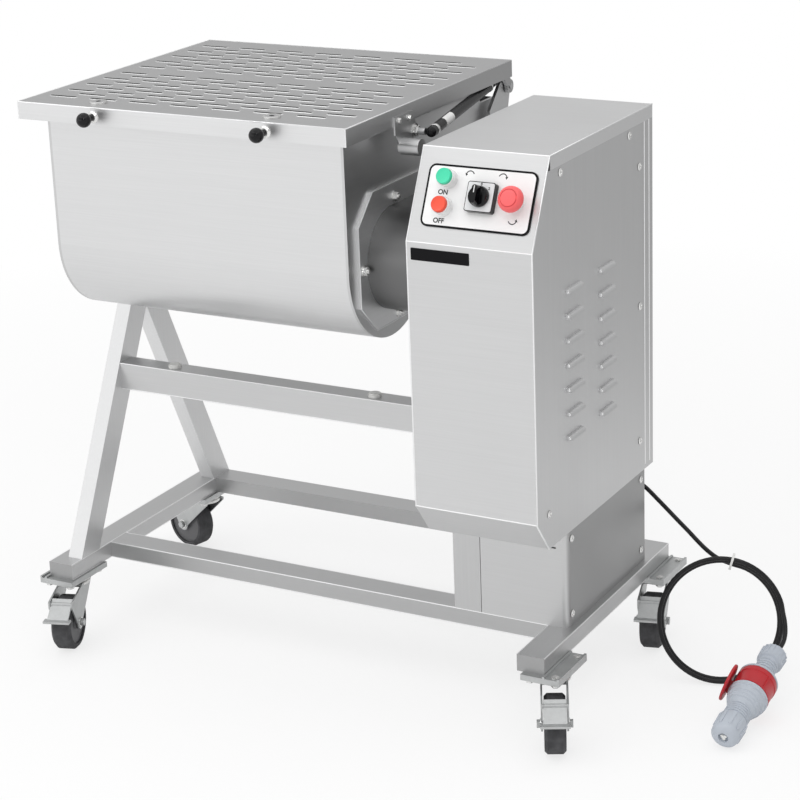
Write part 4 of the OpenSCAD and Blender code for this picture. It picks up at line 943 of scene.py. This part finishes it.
# %% [markdown]
# The strut is painted black, with a bare white label on its cylinder. Bright rings mark where the
# sockets are crimped on. A nut holds the stud to its bracket, and two bolts hold the bracket.

# %% Strut trim
STRUT_BALL = place(655, 553, 985)
STRUT_STUD = place(715.5, 200, 974.5)
strut_turn = pointing(STRUT_BALL, STRUT_STUD - STRUT_BALL)
strut_l = (STRUT_STUD - STRUT_BALL).length / MM


def crimp_ring(name, start, end, radius):
    profile = in_mm([(radius - 0.6, start), (radius, start + 0.4), (radius, end - 0.4), (radius - 0.6, end)])
    plated(name, turned_mesh(profile, strut_turn, 40), "strut_lower")


def wrapped(start, end, radius, middle, spread):
    """A thin sheet bent part of the way around the strut."""
    made = bmesh.new()
    section = in_mm([(radius - 0.5, start), (radius, start), (radius, end), (radius - 0.5, end)])
    rows = []
    for k in range(13):
        a = middle + spread * (k / 12 - 0.5)
        rows.append([made.verts.new(strut_turn @ Vector((*polar(r, a), h))) for r, h in section])
    ring_faces(made, rows)
    made.faces.new(rows[0])
    made.faces.new(rows[-1])
    return sealed(made)


outward = strut_turn.to_3x3().inverted() @ Vector((1, 0, 0.5))
label = wrapped(0.72 * strut_l, 0.84 * strut_l, 9.15, math.atan2(outward.y, outward.x), math.radians(130))
finish_mesh("strut_label", label, blank_label, "strut_lower")
crimp_ring("strut_front_ring", 0.945 * strut_l, 0.965 * strut_l, 9.7)
crimp_ring("strut_rear_ring", 34, 39, 9.6)
BRACKET_X = 685
stud_nut = hex_nut(pointing(place(BRACKET_X, 200, 974.5), (1, 0, 0)), 9.5, 7, 10)
plated("stud_nut", joined(stud_nut), "lid", 30)
bracket_bolts = [part for y, z in ((146, 1002), (181, 1000))
                 for part in hex_nut(pointing(place(BRACKET_X, y, z), (1, 0, 0)), 4.4, 4, y)]
plated("bracket_bolts", joined(bracket_bolts), "lid", 30)
print("strut length in millimetres:", round(strut_l, 1))

# %% [markdown]
# A swivel castor turns on two rings of balls. From outside they show as a pressed, bright rim above the
# fork, and the wheel has a dished disc on each side with a plain bearing boss.

# %% Castor trim
HEADINGS = (18, 26, -105, 14)
TRAIL = AXLE_Z = 50
race = in_mm([(24, 122), (28.4, 121.6), (30, 120.4), (30.4, 118.6), (29.4, 116.4), (27, 114.8), (24.2, 114.3)])
lip = in_mm([(22, 114.2), (26.8, 114), (28.4, 113), (29, 111), (28.4, 109), (27.2, 108)])
disc = in_mm([(6.5, 17.4), (11, 17.6), (12.4, 16.8), (13, 14.4), (22, 14.9), (30, 14.7), (37, 14.5),
              (39.9, 14.3)])
nut_ring = in_mm([(7.2, 22.6), (9.4, 22.6), (9.4, 24.2), (7.2, 24.6)])
for (x, y), heading, corner in zip(SWIVELS, HEADINGS, CORNERS):
    upright = spun(Matrix.Translation(place(x, y, 0)), heading - 90, "Z")
    axles = [spun(moved(upright, TRAIL, 0, AXLE_Z), degrees, "X") for degrees in (90, -90)]
    plated("race_" + corner, turned_mesh(race, upright, 48), "base")
    plated("crown_" + corner, turned_mesh(lip, upright, 48), "fork_" + corner)
    finish_mesh("wheel_discs_" + corner, turned_all(disc, axles, 40), hub_plastic, "wheel_" + corner)
    plated("axle_washers_" + corner, turned_all(nut_ring, axles, 32), "fork_" + corner)
print("castors trimmed:", len(CORNERS))

# %% [markdown]
# Two thin things finish the cabinet: a bare black plate under the controls, and the earth slot in the
# lower box, a flat black mark that paints the shade inside the slot.

# %% Cabinet trim
front_turn = spun(Matrix.Translation(place(828, CABINET_Y[0], 824)), 90, "X")
bare_plate = slab(in_mm(round_outline(104, 20, 1.5)), front_turn, 0, 0.8 * MM, 0.995)
finish_mesh("bare_plate", bare_plate, ink, "base")
slot_turn = spun(Matrix.Translation(place(962, 122, 305)), 90, "X")
earth_slot = slab(in_mm(round_outline(9, 2.4, 1.1)), slot_turn, 0, 0.3 * MM)
finish_mesh("earth_slot", earth_slot, ink, "base")
print("plates and slots:", 2)

# %% [markdown]
# Folded sheet never has a sharp edge: along each fold runs a narrow rounded line that catches the light.
# A thin round bead, sunk into the edge so that only its crest stands out, draws these lines; its steel is
# lighter than the sheet's, a painted highlight.

# %% Fold lines
def beads(name, paths, radius, body, closed=False):
    settled(name, traced(name, paths, radius * MM, 2, fold_highlight_steel, closed), body)


def sunk(points, inward):
    return [place(*(v + d for v, d in zip(point, inward))) for point in points]


CHAMFER_Y, CHAMFER_Z, SINK = 48, 392, 0.8
(left_x, right_x), (front_y, back_y), (foot_z, top_z) = CABINET_X, CABINET_Y, CABINET_Z
edge = [(CHAMFER_Y, foot_z), (front_y, CHAMFER_Z), (front_y, BEND_Z), (SLOPE_Y, top_z), (back_y, top_z)]
cabinet_folds = [sunk([(right_x, y, z) for y, z in edge], (-SINK, 0.6, -0.6)),
                 sunk([(left_x, y, z) for y, z in edge[1:4]], (SINK, 0.6, -0.6))]
for (y, z), rise in zip(edge[1:4], (0.5, -0.5, -0.8)):
    cabinet_folds.append(sunk([(left_x, y, z), (right_x, y, z)], (0, SINK, rise)))
for y in (446, 466):
    cabinet_folds.append(sunk([(right_x, y, 345), (right_x, y, 961)], (-0.5, 0, 0)))
beads("cabinet_folds", cabinet_folds, 1.4, "base")
x0, x1, y0, y1 = LID_X[0] + SINK, LID_X[1] - SINK, LID_Y[0] + SINK, LID_Y[1] - SINK
lid_rim = [(x0, y0), (x1, y0), (x1, y1), (x0, y1), (x0, y0)]
lid_folds = [[place(x, y, LID_Z[1] - SINK) for x, y in lid_rim]]
lid_folds += [[place(x, y0, LID_Z[0]), place(x, y0, LID_Z[1] - 1)] for x in (x0, x1)]
beads("lid_folds", lid_folds, 1.3, "lid")
FLANGE_RIM = ((243, 74), (193, 124), (-193, 124), (-243, 74), (-243, -62), (-193, -112), (193, -112),
              (243, -62))
flange_rim = [place(FLANGE_X - 0.4, PIVOT_Y + y, PIVOT_Z + z) for y, z in FLANGE_RIM]
beads("flange_edge", [flange_rim], 1.1, "tub", closed=True)
print("fold lines:", len(cabinet_folds) + len(lid_folds) + 1)

# %% [markdown]
# Each louvre is stretched most at its front end, where the sheet is drawn round. A small dome gives that
# end, and its lighter steel is a painted highlight.

# %% Louvre ends
LOUVRE_L, LOUVRE_TOP, LOUVRE_STEP = 54, 751.4, 41.5
crest = in_mm([(0, 0.9), (1.6, 0.75), (2.7, 0.3), (3.1, -0.3)])
louvre_turns = [pointing(place(993.6, middle - LOUVRE_L / 2, LOUVRE_TOP - LOUVRE_STEP * row), (0, -1, 0))
                for middle in (150, 279) for row in range(7)]
finish_mesh("louvre_ends", turned_all(crest, louvre_turns, 20), fold_highlight_steel, "base")
print("louvre ends:", len(louvre_turns))

# %% [markdown]
# A square tube has four such lines along it. They are read from each tube's own box, so they follow it.

# %% Tube corners
def corner_lines(node, inset=0.8):
    solid = bpy.data.objects[node]
    spots = [solid.matrix_world @ Vector(corner) for corner in solid.bound_box]
    low = [min(spot[k] for spot in spots) + inset * MM for k in range(3)]
    high = [max(spot[k] for spot in spots) - inset * MM for k in range(3)]
    run = max(range(3), key=lambda k: high[k] - low[k])
    a, b = [k for k in range(3) if k != run]
    lines = []
    for side in ((low[a], low[b]), (low[a], high[b]), (high[a], low[b]), (high[a], high[b])):
        path = []
        for end in (low[run], high[run]):
            spot = [0, 0, 0]
            spot[run], spot[a], spot[b] = end, side[0], side[1]
            path.append(spot)
        lines.append(path)
    return lines


TUBES = ("rail_left", "rail_right", "rail_front", "cross_bar")
tube_lines = [path for node in TUBES for path in corner_lines(node)]
beads("tube_corners", tube_lines, 1.15, "base")
print("tube corners:", len(tube_lines))

# %% [markdown]
# Each slot of the lid is pressed, which turns its rim up a little. The sloping rim shows as a bright line
# beside the dark gap, so every slot gets one, in the lighter fold steel as a painted highlight. Its walls
# are near black: painted shade for the gap.

# %% Slot rims
SLOT_L, SLOT_W, SLOT_R = 52, 4.5, 2.24
SLOT_STEP, ROW_STEP = 82, 26


def slot_rim(x, y, heights):
    """A skin around a slot. Each step says how far outside the slot and how high over the lid it is."""
    outlines = [(in_mm(round_outline(SLOT_L + grow, SLOT_W + grow, SLOT_R + grow / 2, 3)), level * MM)
                for grow, level in heights]
    return skin(Matrix.Translation(place(x, y, LID_Z[1])), outlines)


slots = [(93 + SLOT_STEP * (i + row % 2 / 2), first + ROW_STEP * row)
         for first in (38, 304) for row in range(9) for i in range(7)]
slot_rims = joined([slot_rim(*spot, ((5.0, -0.1), (2.2, 0.8), (1.9, 0.8))) for spot in slots])
finish_mesh("slot_rims", slot_rims, fold_highlight_steel, "lid", 50)
walls = joined([slot_rim(*spot, ((1.9, 0.8), (0, 0.1), (-0.3, -1.6))) for spot in slots])
finish_mesh("slot_walls", walls, slot_shade, "lid", 50)
print("slot rims:", len(slots))

# %% [markdown]
# The floor is white and fades into a white world, so no horizon shows. Near the machine it is a real
# surface that takes the shadow; further out, and most of it everywhere, it is plain white for the
# camera. Steel sees the same floor, a little greyer behind the machine, as a studio's back wall makes it.

# %% Floor
HALF_SIDE = 14
made = bmesh.new()
bmesh.ops.create_grid(made, x_segments=1, y_segments=1, size=HALF_SIDE)
floor_mesh = bpy.data.meshes.new("floor")
made.to_mesh(floor_mesh)
made.free()
floor = linked("floor", floor_mesh)
floor.location = (0, 0, -0.0005)
paint = Paint("floor white")
paint.coat(Base_Color=(0.93, 0.93, 0.93, 1), Roughness=0.7)
spot = paint.place()
far = paint.clear(spot.reach(), 1.3, 2.8)
camera_ray, glossy_ray, through_ray = paint.rays()
behind = paint.clear(paint.part(spot, "Y"), 0.2, 1.6)
floor_tone = paint.blend(glossy_ray * behind, (1, 1, 1), (0.5, 0.5, 0.5))
glow = paint.node("ShaderNodeEmission", {}, {"Color": floor_tone, "Strength": 1.0})
seen = camera_ray * (0.76 + 0.24 * far) + (glossy_ray + through_ray) * (0.3 + 0.7 * far)
mixed = paint.node("ShaderNodeMixShader", {}, {0: seen, 1: Wire(paint, paint.shader.outputs[0]), 2: glow})
paint.feed(paint.tree.nodes["Material Output"].inputs["Surface"], mixed)
floor_mesh.materials.append(paint.material)
print("floor side in metres:", 2 * HALF_SIDE)

# %% [markdown]
# Two broad, dim sheets of light do the modelling: one overhead and one at the front left, so the fronts
# read bright and the right-hand faces fall off. A third, small one only puts a spark on glossy black.
# Their sum with the world shows a colour as it is written.

# %% Lamps
def panel_light(name, spot, aim, size, power):
    data = bpy.data.lights.new(name, "AREA")
    data.shape = "RECTANGLE"
    data.size, data.size_y = size
    data.energy = power
    linked(name, data).matrix_world = pointing(Vector(spot), Vector(spot) - Vector(aim))


panel_light("front window", (-2.2, -3.4, 2.9), (0, 0, 0.6), (5.6, 4.6), 60)
panel_light("overhead sheet", (0.1, -0.5, 3.8), (0.1, 0, 0.5), (5.2, 4.4), 78)
panel_light("small sparkle", (1.5, -2.5, 3.0), (0.1, 0, 0.6), (0.26, 0.26), 8)
print("lamps placed:", 3)

# %% [markdown]
# The world is white to the camera. What lights the machine is dimmer, and what steel mirrors from low
# behind it is grey, which is why a lid looks darker than a front. Behind the two sheets it is grey too.

# %% World
FILL = 0.58
world = bpy.data.worlds.new("studio")
bpy.context.scene.world = world
world.use_nodes = True
sky = Nodes(world.node_tree)
camera_ray, glossy_ray, through_ray = sky.rays()
way = sky.node("ShaderNodeTexCoord", {}, {}, "Generated")
back_wall = sky.clear(sky.part(way, "Y"), -0.1, 0.7) * (1 - sky.clear(sky.part(way, "Z"), 0.3, 0.9))
window = sky.clear(sky.part(way, "Y"), -0.2, -0.6) * sky.clear(sky.part(way, "Z"), 0.15, 0.4)
ceiling = sky.clear(sky.part(way, "Z"), 0.72, 0.9)
studio = sky.blend(glossy_ray * back_wall, (1, 1, 1), (0.56, 0.56, 0.56))
studio = sky.blend(glossy_ray * (window + ceiling), studio, (0.24, 0.24, 0.24))
backdrop = sky.node("ShaderNodeBackground", {}, {"Color": studio, "Strength": 1.0})
fill = sky.node("ShaderNodeBackground", {}, {"Color": (1, 1, 1, 1), "Strength": FILL})
mixed = sky.node("ShaderNodeMixShader", {}, {0: camera_ray + glossy_ray + through_ray, 1: fill, 2: backdrop})
sky.feed(sky.tree.nodes["World Output"].inputs["Surface"], mixed)
bpy.context.scene.view_settings.view_transform = "Standard"
print("world fill strength:", FILL)

# %% Finish
print("scene built")
